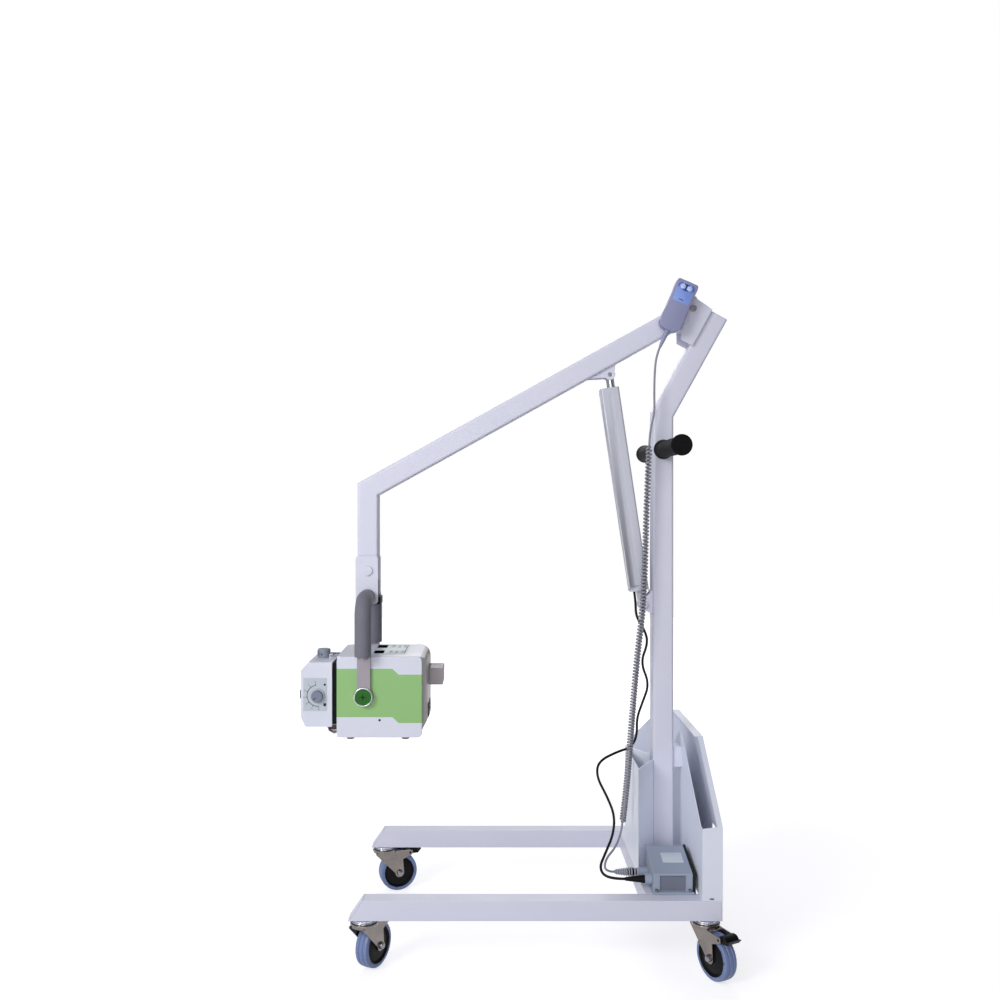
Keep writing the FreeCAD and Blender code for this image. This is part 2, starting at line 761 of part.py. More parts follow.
fork_outline = ((-crown_radius + seat, crown_low + seat), (-crown_radius + seat, crown_low - seat),
                (castor_trail - axle_end_radius, wheel_z), (castor_trail + axle_end_radius, wheel_z),
                (castor_trail + fork_waist, pedal_z - pedal_hub_radius - fork_waist),
                (pedal_pivot_x + pedal_hub_radius / 2, pedal_z - pedal_hub_radius),
                (pedal_pivot_x + pedal_hub_radius, pedal_z - pedal_hub_radius / 2),
                (pedal_pivot_x + pedal_hub_radius, pedal_z + pedal_hub_radius), (crown_radius, crown_low + seat))
for y0 in (-fork_outer, fork_inner):
    plate = prism_xz(fork_outline, y0, y0 + fork_plate)
    plate = plate.fuse(pin_y(castor_trail, wheel_z, axle_end_radius, y0, y0 + fork_plate))
    fork = fork.fuse(plate)
fork = fork.cut(pin_z(0, 0, king_pin_radius + pin_clear, crown_low - seat, crown_top + seat))
fork = fork.fuse(bolt_y(castor_trail, wheel_z, axle_radius, axle_radius + seat, fork_plate, -fork_outer, fork_outer))
fork = fork.cut(pin_y(pedal_pivot_x, pedal_z, pedal_pin_radius, -fork_outer - seat, fork_outer + seat))
fork = fork.removeSplitter()

half = wheel_width / 2
groove = half / 3
tyre_profile = ((-half, hub_radius), (-half, wheel_radius - seat * 2), (-half + seat, wheel_radius - seat / 2),
                (-groove - seat, wheel_radius), (-groove, wheel_radius - tread_depth),
                (-groove + seat, wheel_radius), (groove - seat, wheel_radius), (groove, wheel_radius - tread_depth),
                (groove + seat, wheel_radius), (half - seat, wheel_radius - seat / 2), (half, wheel_radius - seat * 2),
                (half, hub_radius))
hub_profile = ((-half, axle_radius + pin_clear), (-half, hub_radius / 2), (-half + seat * 2, hub_radius - seat * 2),
               (-half, hub_radius - seat), (-half, hub_radius), (half, hub_radius), (half, hub_radius - seat),
               (half - seat * 2, hub_radius - seat * 2), (half, hub_radius / 2), (half, axle_radius + pin_clear))


def wheel_ring(profile):
    """Revolve a profile of y and radius about the axle."""
    corners = [Vector(castor_trail + r, y, wheel_z) for y, r in profile]
    face = Part.Face(Part.makePolygon(corners + corners[:1]))
    return face.revolve(Vector(castor_trail, 0, wheel_z), Vector(0, 1, 0), 360)


wheel = (wheel_ring(tyre_profile), wheel_ring(hub_profile))
pedal_inner = fork_inner - gap
pedal = pin_y(pedal_pivot_x, pedal_z, pedal_hub_radius, -pedal_inner, pedal_inner)
pedal = pedal.fuse(pin_y(pedal_pivot_x, pedal_z, pedal_pin_radius - pin_clear, -fork_outer, fork_outer))
paddle_outline = ((0, -pedal_neck), (0, pedal_hub_radius), (pedal_reach / 6, pedal_arch),
                  (pedal_reach / 2, pedal_arch), (pedal_reach * 2 / 3, pedal_neck * 2), (pedal_reach * 3 / 4, pedal_neck),
                  (pedal_reach + seat, pedal_hub_radius), (pedal_reach * 3 / 4, -pedal_neck))
paddle = prism_xz([(pedal_pivot_x + x, pedal_z + z) for x, z in paddle_outline], -pedal_inner, pedal_inner)
pedal = pedal.fuse(paddle).removeSplitter()
for name, x, y, turn in castors:
    mounts.append(castor_placed(mount, x, y, turn))
    add(name + "_fork", castor_placed(fork, x, y, turn))
    add(name + "_wheel", *[castor_placed(solid, x, y, turn) for solid in wheel])
    add(name + "_pedal", castor_placed(pedal, x, y, turn))
add("castor_mounts", *mounts)

# Lift arm, straight and then bent down to the hanger, with the actuator's gusset under it
arm_start = arm_point(-arm_rear, 0)
arm_points = (arm_start, elbow, hang - Vector(0, 0, arm_past_bolt))
arm = mitred_tube(arm_points, column_half, arm_half, arm_corner, arm_wall)
arm = arm.cut(pin_y(pivot.x, pivot.z, pivot_bolt_radius + pin_clear, -column_width, column_width))
arm = arm.cut(pin_y(hang.x, hang.z, end_bolt_radius, -column_width, column_width))


def arm_frame(shape):
    """Place a shape drawn along -x under the pivot on the resting arm."""
    return turned(shape, -arm_droop, pivot)


relief = block(-relief_end, -relief_start, -relief_half, relief_half, -column_half - seat, -column_half + column_width / 2)
arm = arm.cut(arm_frame(relief))
sleeve = pin_y(pivot.x, pivot.z, pivot_bolt_radius + column_wall + seat, -arm_half, arm_half)
sleeve = sleeve.cut(pin_y(pivot.x, pivot.z, pivot_bolt_radius + pin_clear, -column_width, column_width))
arm = arm.fuse(sleeve)
add("arm_tube", arm)

gusset_outer = gusset_inner_half + gusset_plate
tube_bottom = -column_half
lug_radius = rod_eye_radius + seat
gussets = []
for y0 in (-gusset_outer, gusset_inner_half):
    plate = prism_xz(((-gusset_start, tube_bottom), (-gusset_end, tube_bottom),
                      (-gusset_along - lug_radius, -gusset_below - seat), (-gusset_along + lug_radius, -gusset_below)),
                     y0, y0 + gusset_plate)
    plate = plate.fuse(pin_y(-gusset_along, -gusset_below, lug_radius, y0, y0 + gusset_plate))
    plate = plate.cut(pin_y(-gusset_along, -gusset_below, rod_pin_radius + pin_clear, y0 - seat, y0 + gusset_plate + seat))
    plate = plate.cut(block(-gusset_end - lug_radius, -gusset_start + lug_radius, y0 - seat, y0 + gusset_plate + seat,
                            tube_bottom, 0))
    gussets.append(arm_frame(plate))
add("arm_gusset", *gussets)

# Actuator: housing on the foot pin, and the rod that slides out of it, both leaning with tilt_rest
tongue = block(-tongue_radius, tongue_radius, -tongue_half, tongue_half, 0, housing_start)
tongue = tongue.fuse(pin_y(0, 0, tongue_radius, -tongue_half, tongue_half))
side_half = housing_size / 2
low_cap = rounded(block(-housing_offset - side_half, -housing_offset + side_half, -side_half, side_half,
                        housing_start, housing_start + housing_cap_long), Vector(0, 0, 1), seat * 2)
foot_piece = tongue.fuse(low_cap).cut(pin_y(0, 0, foot_pin_radius + pin_clear, -column_width, column_width))
tube_low = housing_start + housing_cap_long
tube_high = housing_start + housing_long - housing_cap_long
shell = square_bar(side_half, side_half, tube_high - tube_low, seat * 2, housing_wall)
for side in (-1, 1):
    y0, y1 = sorted((side * side_half - seat / 2, side * side_half + seat / 2))
    shell = shell.cut(block(-seat * 2, seat * 2, y0, y1, -seat, tube_high))
shell.translate(Vector(-housing_offset, 0, tube_low))
top_cap = rounded(block(-housing_offset - side_half, -housing_offset + side_half, -side_half, side_half,
                        tube_high, tube_high + housing_cap_long), Vector(0, 0, 1), seat * 2)
top_cap = top_cap.fuse(pin_z(0, 0, rod_radius + seat * 2, tube_high, tube_high + housing_cap_long + seat))
top_cap = top_cap.cut(pin_z(0, 0, rod_radius + pin_clear, tube_high - seat, tube_high + housing_cap_long + seat * 2))
add("actuator_housing", *[turned(piece, -tilt_rest, foot_pin) for piece in (foot_piece.removeSplitter(), shell, top_cap)])

rod_low = tube_high - rod_stroke - stroke_margin
rod = pin_z(0, 0, rod_radius, rod_low, rod_rest - rod_eye_radius + seat)
rod = rod.fuse(pin_z(0, 0, guide_radius, rod_low, rod_low + guide_long))
eye = pin_y(0, rod_rest, rod_eye_radius, -rod_eye_half, rod_eye_half)
rod = rod.common(block(-column_width, column_width, -column_width, column_width, 0, rod_rest - rod_eye_radius + seat))
rod = rod.fuse(eye).cut(pin_y(0, rod_rest, rod_pin_radius, -column_width, column_width))
rod_pin = pin_y(0, rod_rest, rod_pin_radius, -gusset_inner_half + gap, gusset_inner_half - gap)
add("actuator_rod", turned(rod.removeSplitter(), -tilt_rest, foot_pin), turned(rod_pin, -tilt_rest, foot_pin))

# Hanger: two plates on the arm's end bolt, the carrying handle through them, and its saddle clamp
bar_z = hang.z - handle_drop
hanger_outer = hanger_inner_half + hanger_plate
hanger_low = bar_z - handle_radius - hanger_plate
hangers = []
for y0 in (-hanger_outer, hanger_inner_half):
    plate = rounded(block(hang.x - hanger_front, hang.x + hanger_rear, y0, y0 + hanger_plate, hanger_low,
                          hang.z + hanger_top_rise), Vector(0, 1, 0), seat * 4)
    plate = plate.cut(pin_y(hang.x, bar_z, handle_radius, y0 - seat, y0 + hanger_plate + seat))
    plate = plate.cut(pin_y(hang.x, hang.z, end_bolt_radius, y0 - seat, y0 + hanger_plate + seat))
    hangers.append(plate)
end_bolt = bolt_y(hang.x, hang.z, end_bolt_radius - pin_clear, end_bolt_radius * 2, seat * 2, -hanger_outer, hanger_outer)
end_washers = []
for y0, y1 in ((-hanger_inner_half, -arm_half - gap), (arm_half + gap, hanger_inner_half)):
    ring = pin_y(hang.x, hang.z, end_bolt_radius * 2, y0, y1)
    end_washers.append(ring.cut(pin_y(hang.x, hang.z, end_bolt_radius - pin_clear, y0 - seat, y1 + seat)))
add("hanger_plates", *hangers, end_bolt, *end_washers)


def bent_bar(radius):
    """Sweep the handle: down one side, across and down the other."""
    low = bar_z - handle_leg_drop
    turn_z = bar_z - handle_bend
    flat = handle_half - handle_bend
    corner = handle_bend * (1 - math.cos(math.pi / 4))
    edges = [Part.LineSegment(Vector(hang.x, -handle_half, low), Vector(hang.x, -handle_half, turn_z)).toShape(),
             Part.Arc(Vector(hang.x, -handle_half, turn_z), Vector(hang.x, -handle_half + corner, bar_z - corner),
                      Vector(hang.x, -flat, bar_z)).toShape(),
             Part.LineSegment(Vector(hang.x, -flat, bar_z), Vector(hang.x, flat, bar_z)).toShape(),
             Part.Arc(Vector(hang.x, flat, bar_z), Vector(hang.x, handle_half - corner, bar_z - corner),
                      Vector(hang.x, handle_half, turn_z)).toShape(),
             Part.LineSegment(Vector(hang.x, handle_half, turn_z), Vector(hang.x, handle_half, low)).toShape()]
    ring = Part.Wire([Part.makeCircle(radius, Vector(hang.x, -handle_half, low), Vector(0, 0, 1))])
    return Part.Wire(edges).makePipeShell([ring], True, True)


handle = bent_bar(handle_radius).cut(bent_bar(handle_radius - handle_wall))
strap_outer_half = strap_inner_half + strap_thick
leg_low = bar_z - handle_leg_drop
for side in (-1, 1):
    y0, y1 = sorted((side * strap_inner_half, side * strap_outer_half))
    strap = block(hang.x - strap_half_width, hang.x + strap_half_width, y0, y1, hub.z, leg_low)
    strap = strap.fuse(pin_y(hub.x, hub.z, hub_ring_radius, y0, y1))
    shoe_y0, shoe_y1 = sorted((side * strap_inner_half, side * handle_half))
    shoe = block(hang.x - handle_radius, hang.x + handle_radius, shoe_y0, shoe_y1, leg_low - strap_thick, leg_low)
    shoe = shoe.fuse(pin_z(hang.x, side * handle_half, handle_radius, leg_low - strap_thick, leg_low))
    handle = handle.fuse(shoe).fuse(strap)
handle = handle.cut(pin_y(hub.x, hub.z, hub_pin_radius + pin_clear, -handle_half * 2, handle_half * 2))
add("handle_frame", handle.removeSplitter())

sleeve_whole = bent_bar(foam_radius).cut(bent_bar(handle_radius))
sleeve_whole = sleeve_whole.cut(block(hang.x - column_width, hang.x + column_width, -foam_start, foam_start,
                                      bar_z - column_width, bar_z + column_width))
add("handle_grips", sleeve_whole)

saddle = pin_y(hang.x, bar_z, saddle_radius, -saddle_half, saddle_half)
saddle = saddle.fuse(block(hang.x, hang.x + saddle_radius + saddle_rear, -saddle_half, saddle_half,
                           bar_z - saddle_radius, bar_z))
saddle = saddle.cut(block(hang.x - column_width, hang.x + column_width, -column_width, column_width, bar_z,
                          bar_z + column_width))
saddle = saddle.cut(pin_y(hang.x, bar_z, handle_radius, -column_width, column_width))
add("saddle_clamp", saddle.removeSplitter())

hub_outer = strap_outer_half + pin_clear
caps_on_hub = []
for side in (-1, 1):
    y0, y1 = sorted((side * head_half, side * hub_outer))
    stem = pin_y(hub.x, hub.z, hub_pin_radius, y0, y1)
    y0, y1 = sorted((side * hub_outer, side * (hub_outer + hub_cap_long)))
    caps_on_hub.append(stem.fuse(pin_y(hub.x, hub.z, hub_cap_radius, y0, y1)))
add("hub_caps", *caps_on_hub)

# X-ray head: a hollow shell, a rear block, the mains inlet, the rocker and four feet
low = hub.z - head_bottom
high = hub.z + head_top
core_half = head_half - cover_thick
core_side = prism_xz(((head_front_x, low), (head_rear_x - head_chamfer_run, low), (head_rear_x, low + head_rear_chamfer),
                      (head_rear_x, high), (head_front_x, high)), -core_half, core_half)
top_rear = [edge for edge in edges_along(core_side, Vector(0, 1, 0))
            if edge.CenterOfMass.x > head_rear_x - gap and edge.CenterOfMass.z > high - gap]
core_side = core_side.makeFillet(head_rear_round, top_rear)
back = [(head_front_x, -core_half)]
back += [(head_rear_x - inward, -core_half + along) for inward, along in back_steps]
back += [(head_rear_x - inward, core_half - along) for inward, along in reversed(back_steps)]
back += [(head_front_x, core_half)]
core = core_side.common(prism_xy(back, low - seat, high + seat))
rocker_side = inlet_y - inlet_half - rocker_half * 2 - rocker_frame
bay = block(head_rear_x - bay_deep, head_rear_x + seat, rocker_side, inlet_y + inlet_half, hub.z + inlet_low,
            hub.z + inlet_high)
core = core.cut(bay)
covers = []
for y0 in (-head_half, core_half):
    plate = rounded(block(head_front_x, hub.x + cover_rear, y0, y0 + cover_thick, low, high), Vector(0, 1, 0), head_corner)
    outer_y = y0 if y0 < 0 else y0 + cover_thick
    rim = [edge for edge in plate.Edges if abs(edge.CenterOfMass.y - outer_y) < gap]
    covers.append(plate.makeFillet(seat, rim))
block_low = hub.z + rear_block_low
block_high = hub.z + rear_block_high
rear_block = rounded(block(head_rear_x, head_rear_x + rear_block_long, -rear_block_half, rear_block_half, block_low,
                           block_high), Vector(0, 1, 0), seat * 2)
add("unit_rear", rear_block)
rocker_y = inlet_y - inlet_half - rocker_half - rocker_frame / 2
rocker_z = (inlet_low + inlet_high) / 2
bay_x = head_rear_x - bay_deep
frame_x = head_rear_x + seat
inlet = block(bay_x, frame_x, rocker_side, inlet_y + inlet_half, hub.z + inlet_low, hub.z + inlet_high)
inlet = inlet.cut(block(bay_x + seat, frame_x + seat, inlet_y - inlet_half + seat * 2, inlet_y + inlet_half - seat * 2,
                        hub.z + inlet_low + seat * 2, hub.z + inlet_high - seat * 2))
inlet = inlet.cut(block(frame_x - rocker_thick - seat, frame_x + seat, rocker_y - rocker_half - gap,
                        rocker_y + rocker_half + gap, hub.z + rocker_z - rocker_high - gap,
                        hub.z + rocker_z + rocker_high + gap))
add("mains_inlet", inlet)
rocker_pivot_x = frame_x - seat
rocker_mid = hub.z + rocker_z
rocker = prism_xz(((rocker_pivot_x - seat, rocker_mid - seat), (rocker_pivot_x, rocker_mid - rocker_high),
                   (rocker_pivot_x + seat, rocker_mid - rocker_high + seat), (rocker_pivot_x + seat, rocker_mid),
                   (rocker_pivot_x + seat * 2, rocker_mid + rocker_high - seat),
                   (rocker_pivot_x + seat / 2, rocker_mid + rocker_high), (rocker_pivot_x - seat, rocker_mid + seat)),
                  rocker_y - rocker_half, rocker_y + rocker_half)
rocker = rocker.fuse(pin_y(rocker_pivot_x, rocker_mid, rocker_pin, rocker_y - rocker_half - gap / 2,
                           rocker_y + rocker_half + gap / 2))
add("rocker_switch", rocker.removeSplitter())
feet = []
for x in (head_front_x + foot_inset_x, head_rear_x - head_rear_chamfer - foot_inset_x / 2):
    for y in (-head_half + foot_inset_y, head_half - foot_inset_y):
        feet.append(pin_z(x, y, foot_radius, low - foot_high, low))
add("unit_feet", *feet)

# Collimator in front of the head, its seal, window, knobs and wire latches
col_low = hub.z - collimator_low
col_high = hub.z + collimator_high
seal = block(seal_front_x, head_front_x, -collimator_half + seal_inset, collimator_half - seal_inset,
             col_low + seal_inset, col_high - seal_inset)
add("collimator_seal", seal)
col_outline = ((collimator_front_x, col_low + collimator_chamfer), (collimator_front_x + collimator_chin, col_low),
               (seal_front_x, col_low), (seal_front_x, col_high), (collimator_front_x + collimator_brow_run, col_high),
               (collimator_front_x, col_high - collimator_brow_drop))
collimator = rounded(prism_xz(col_outline, -collimator_half, collimator_half), Vector(0, 1, 0), seat * 1.5)
window_z0 = hub.z - window_half
recess = block(collimator_front_x - seat, collimator_front_x + window_thick + window_recess, -window_half, window_half,
               window_z0, hub.z + window_half)
collimator = collimator.cut(recess)
plate_y = -collimator_half - dial_plate
collimator = collimator.fuse(block(collimator_front_x + dial_plate_front, collimator_front_x + dial_plate_rear, plate_y,
                                   -collimator_half, hub.z - dial_plate_half, hub.z + dial_plate_half))
dial_x = collimator_front_x + side_knob_x
dial_z = hub.z - side_knob_drop
top_knob_place_x = collimator_front_x + top_knob_x
collimator = collimator.cut(pin_z(top_knob_place_x, 0, knob_pin_radius + pin_clear, col_high - head_corner, col_high + seat))
collimator = collimator.cut(pin_y(dial_x, dial_z, knob_pin_radius + pin_clear, plate_y - seat,
                                  -collimator_half + head_corner))
add("collimator_body", collimator)
add("front_window", block(collimator_front_x + window_recess, collimator_front_x + window_recess + window_thick,
                          -window_half, window_half, window_z0, hub.z + window_half))
knob = pin_z(top_knob_place_x, 0, top_knob_radius, col_high + pin_clear, col_high + top_knob_high)
knob = knob.makeFillet(seat, [knob.Edges[0]])
add("top_knob", knob.fuse(pin_z(top_knob_place_x, 0, knob_pin_radius, col_high - head_corner + seat, col_high + seat)))
side_face = plate_y - pin_clear
skirt_y = side_face - side_knob_skirt
dial = pin_y(dial_x, dial_z, side_knob_radius, skirt_y, side_face)
dial = dial.fuse(pin_y(dial_x, dial_z, side_grip_radius, skirt_y - side_grip_long, skirt_y))
dial = dial.fuse(pin_y(dial_x, dial_z, knob_pin_radius, skirt_y, -collimator_half + head_corner - seat))
add("dial_knob", dial)


# Handset on a hook beside the leaning column
def handset_frame(shape):
    """Place a handset piece drawn standing on its own centre."""
    return turned(shape, handset_lean, Vector(handset_x, handset_y, handset_z))


thick_half = handset_thick / 2
body_box = block(-handset_wide / 2, handset_wide / 2, -thick_half, thick_half, -handset_long / 2, handset_long / 2)
for low_end, radius in ((True, handset_round), (False, handset_top_round)):
    ends = [edge for edge in edges_along(body_box, Vector(0, 1, 0)) if (edge.CenterOfMass.z < 0) == low_end
            and abs(abs(edge.CenterOfMass.x) - handset_wide / 2) < gap]
    body_box = body_box.makeFillet(radius, ends)
for side in (-1, 1):
    body_box = body_box.cut(pin_y(side * button_apart, button_rise, button_radius + pin_clear, -thick_half - seat,
                                  -thick_half + button_well))
relief_sleeve = Part.makeCone(grommet_radius, grommet_end_radius, grommet_long, Vector(0, 0, -handset_long / 2),
                              Vector(0, 0, -1))
add("handset_body", handset_frame(body_box.fuse(relief_sleeve)))
for name, side in (("up_button", -1), ("down_button", 1)):
    button = pin_y(side * button_apart, button_rise, button_radius, -thick_half - button_high,
                   -thick_half + button_well - button_travel - gap)
    add(name, handset_frame(button))
hook_inner = -cheek_outer
hook_outer = handset_y + thick_half
hook_low = handset_z - hook_drop
hook = block(handset_x - hook_wide, pivot.x - bolt_head_radius - seat, hook_inner - hook_thick, hook_inner,
             hook_low, hook_low + hook_wide)
hook = hook.fuse(block(handset_x - hook_wide / 2, handset_x, hook_outer, hook_inner, hook_low, hook_low + hook_wide))
pieces["pivot_cheeks"] = pieces["pivot_cheeks"].fuse(hook).removeSplitter()

# Wire latches: pins on the collimator, hooked over small shelves on the head
latch_pin_x = seal_front_x - latch_stand * 2
latch_bar_x = head_front_x - latch_stand
collimator = pieces["collimator_body"]
for name, up, face in (("latch_top", 1, col_high), ("latch_bottom", -1, col_low)):
    wire_z = face + up * latch_stand
    z0, z1 = sorted((face, wire_z + up * (latch_wire + seat)))
    for y in (-latch_half + latch_boss, latch_half - latch_boss):
        lug_block = block(latch_pin_x - latch_wire - seat, latch_pin_x + latch_wire + seat, y - seat, y + seat, z0, z1)
        collimator = collimator.fuse(lug_block)
    collimator = collimator.cut(pin_y(latch_pin_x, wire_z, latch_wire + pin_clear, -latch_half, latch_half))
    z0, z1 = sorted((wire_z - up * (latch_wire + gap), wire_z - up * (latch_wire + gap + seat)))
    core = core.fuse(block(latch_bar_x - seat * 2, head_front_x + seat, -latch_half + latch_boss,
                           latch_half - latch_boss, z0, z1))
    bail = pin_y(latch_pin_x, wire_z, latch_wire, -latch_half, latch_half)
    bail = bail.fuse(pin_y(latch_bar_x, wire_z, latch_wire, -latch_half, latch_half))
    for y in (-latch_half, latch_half):
        bail = bail.fuse(block(latch_pin_x - latch_wire, latch_bar_x + latch_wire, y - latch_wire, y + latch_wire,
                               wire_z - latch_wire, wire_z + latch_wire))
    add(name, bail.removeSplitter())
pieces["collimator_body"] = collimator.removeSplitter()
add("unit_shell", core.removeSplitter(), *covers)

# Cords. The lead hangs from the handset, the curly cord from the lead, and the tail runs to the box
relief_end_point = handset_frame(Part.Vertex(0, 0, -handset_long / 2 - grommet_long)).Point
hand = math.radians(handset_lean)
lead_turn = relief_end_point + Vector(-math.sin(hand), 0, -math.cos(hand)) * lead_run
curl_top = Vector(-39, handset_y, 1176)
curl_end = Vector(-103, handset_y, 275)
curl_first = Vector(-44, handset_y, 1070)
curl_last = Vector(-93, handset_y, 360)
first_way = (curl_first - curl_top).normalize()
last_way = (curl_end - curl_last).normalize()
lead_end = curl_top - first_way * cord_face_gap
tail_start = curl_end + last_way * cord_face_gap
lead_route = (relief_end_point, lead_turn, Vector(-26, handset_y, 1352), Vector(-27, handset_y, 1300),
              Vector(-26, handset_y, 1256), curl_top - first_way * 36, lead_end)
curl_route = (curl_top, curl_first, Vector(-47, handset_y, 970), Vector(-50, handset_y, 869),
              Vector(-56, handset_y, 769), Vector(-65, handset_y, 699), Vector(-73, handset_y, 616),
              Vector(-80, handset_y, 530), Vector(-86, handset_y, 450), curl_last, curl_end)
collar_z = leg_top_z + collar_rise
socket_z = leg_top_z + plug_socket_rise
tail_plug_start = box_front_x - collar_long - relief_long
tail_corner_x = tail_plug_start - tail_clear
tail_route = (tail_start, curl_end + last_way * tail_clear, Vector(-124, handset_y - 36, 228),
              Vector(tail_corner_x + 3, collar_y + 7, collar_z + 26), Vector(tail_corner_x, collar_y, collar_z),
              Vector(tail_plug_start, collar_y, collar_z))
cable_end_x = box_front_x - plug_socket_long - plug_long
cable_ahead = -housing_offset - cable_front_offset
cable_start = turned(Part.Vertex(cable_ahead, cable_y, housing_start - gap * 2), -tilt_rest, foot_pin).Point
cable_turn = turned(Part.Vertex(cable_ahead, cable_y, housing_start - cable_run), -tilt_rest, foot_pin).Point
cable_route = (cable_start, cable_turn, Vector(-64, cable_y, 762), Vector(-44, cable_y, 722),
               Vector(-37, cable_y, 682), Vector(-44, cable_y, 640), Vector(-36, cable_y, 600),
               Vector(-44, cable_y, 556), Vector(-56, cable_y, 512), Vector(-60, cable_y, 472),
               Vector(-78, -14, 446), Vector(-112, -30, 436), Vector(-150, -46, 414), Vector(-162, -58, 376),
               Vector(-146, -72, 338), Vector(-134, -88, 300), Vector(-140, -104, 262), Vector(-152, -124, 228),
               Vector(-172, plug_socket_y + 20, 206), Vector(cable_end_x - 40, plug_socket_y, socket_z),
               Vector(cable_end_x, plug_socket_y, socket_z))
add("handset_lead", cord(lead_route, lead_radius))
add("curly_cord", cord(curl_route, curl_radius))
add("tail_cord", cord(tail_route, lead_radius))
add("actuator_cable", cord(cable_route, cable_radius))
rib_pitch = relief_long / (rib_count + 1)
ribbed = [(tail_plug_start, 0), (tail_plug_start, lead_radius + seat)]
for rib in range(1, rib_count + 1):
    place = tail_plug_start + rib * rib_pitch
    crest = lead_radius + seat + (plug_radius - lead_radius - seat) * rib / rib_count
    ribbed += [(place - rib_pitch / 2, crest), (place - rib_pitch / 2, crest - rib_deep), (place, crest - rib_deep),
               (place, crest)]
ribbed += [(tail_plug_start + relief_long, plug_radius), (tail_plug_start + relief_long, 0)]
ribbed_corners = [Vector(x, collar_y, collar_z + radius) for x, radius in ribbed]
ribbed_face = Part.Face(Part.makePolygon(ribbed_corners + ribbed_corners[:1]))
add("tail_plug", ribbed_face.revolve(Vector(0, collar_y, collar_z), Vector(1, 0, 0), 360))
add("actuator_plug", Part.makeCone(cable_radius + seat / 2, plug_radius, plug_long,
                                   Vector(cable_end_x, plug_socket_y, socket_z), Vector(1, 0, 0)))

if __name__ == "__main__":
    os.makedirs("parts", exist_ok=True)
    for name, shape in pieces.items():
        moved = shape.copy()
        moved.translate(Vector(column_x, 0, 0))
        if not moved.isValid() or min(solid.Volume for solid in moved.Solids) <= 0:
            print("check the shape of", name)
        moved.exportStep("parts/" + name + ".step")
    print(len(pieces), "nodes")
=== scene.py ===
"""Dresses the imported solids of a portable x-ray machine on its wheeled lift stand."""

import logging
import math
from dataclasses import dataclass, replace
from enum import Enum
from typing import Callable, Iterable, Sequence

import bmesh
import bpy
from mathutils import Matrix, Vector

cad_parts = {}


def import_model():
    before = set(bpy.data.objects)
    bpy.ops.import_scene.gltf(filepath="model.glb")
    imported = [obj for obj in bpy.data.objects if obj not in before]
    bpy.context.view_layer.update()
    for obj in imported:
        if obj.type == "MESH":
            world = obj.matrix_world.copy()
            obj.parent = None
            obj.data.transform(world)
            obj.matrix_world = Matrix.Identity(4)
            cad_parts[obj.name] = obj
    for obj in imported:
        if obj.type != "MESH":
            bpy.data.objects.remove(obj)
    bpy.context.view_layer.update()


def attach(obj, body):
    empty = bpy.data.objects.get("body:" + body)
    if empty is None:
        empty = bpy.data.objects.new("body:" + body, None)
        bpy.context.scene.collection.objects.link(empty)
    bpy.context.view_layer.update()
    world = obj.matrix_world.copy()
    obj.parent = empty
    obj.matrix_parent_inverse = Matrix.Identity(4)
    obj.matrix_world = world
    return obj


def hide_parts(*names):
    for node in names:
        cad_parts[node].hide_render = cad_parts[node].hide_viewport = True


LOG = logging.getLogger("xray_stand")
COLUMN_X = 0.359  # the column's centreline in the frame, in metres
HUB_X, HUB_Z = -717.6, 586.0  # the head's tilt axis, in millimetres off the column and over the floor
X_WAY, Y_WAY, Z_WAY = Vector((1, 0, 0)), Vector((0, 1, 0)), Vector((0, 0, 1))  # to the rear, to the far side, up
SIDES = ((-1, "near"), (1, "far"))
FILM = 0.15  # thickness of printed marks in millimetres
WELD = 2e-6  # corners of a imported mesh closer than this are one, in metres
DRAWN_STRETCH = 60  # how much longer than wide a die line's noise is
Point = tuple[float, float, float]
Outline = list[tuple[float, float]]  # pairs of millimetres
Shape, Piece, Tree, Socket = bmesh.types.BMesh, bpy.types.Object, bpy.types.NodeTree, bpy.types.NodeSocket
Picker = Callable[[Sequence[Vector], Vector], bool]  # a face's corners in mm off the column, and its normal


def srgb(code: str) -> tuple[float, float, float, float]:
    """Turn an sRGB hex colour into the linear colour that shaders use.

    Args:
        code: six hex digits, with or without a leading mark.

    Returns:
        Linear red, green, blue and an alpha of one.
    """
    digits = code.lstrip("#")
    parts = [int(digits[i:i + 2], 16) / 255 for i in (0, 2, 4)]
    linear = [c / 12.92 if c <= 0.04045 else ((c + 0.055) / 1.055) ** 2.4 for c in parts]
    return linear[0], linear[1], linear[2], 1.0


def at(x: float, y: float, z: float) -> Vector:
    """Give a point in metres from millimetres measured off the column's centreline.

    Args:
        x: millimetres behind the column's centreline.
        y: millimetres to the far side.
        z: millimetres above the floor.

    Returns:
        The point in the frame.
    """
    return Vector((x / 1000 + COLUMN_X, y / 1000, z / 1000))


def add(tree: Tree, kind: str, inputs: dict | None = None, **settings) -> bpy.types.Node:
    """Add one node with its settings and links.

    Args:
        tree: the tree that gets the node.
        kind: the node's type name.
        inputs: socket name or number to a value, or to the socket it is linked from.
        settings: plain properties of the node.

    Returns:
        The new node.
    """
    node = tree.nodes.new(kind)
    for key, value in settings.items():
        setattr(node, key, value)
    for key, value in (inputs or {}).items():
        if isinstance(value, Socket):
            tree.links.new(value, node.inputs[key])
        else:
            node.inputs[key].default_value = value
    return node


def maths(tree: Tree, operation: str, first: object, second: object) -> Socket:
    """Join two numbers or sockets by one operation.

    Args:
        tree: the tree that gets the node.
        operation: the operation's name.
        first: the first number or socket.
        second: the second number or socket.

    Returns:
        The result's socket.
    """
    return add(tree, "ShaderNodeMath", {0: first, 1: second}, operation=operation).outputs[0]


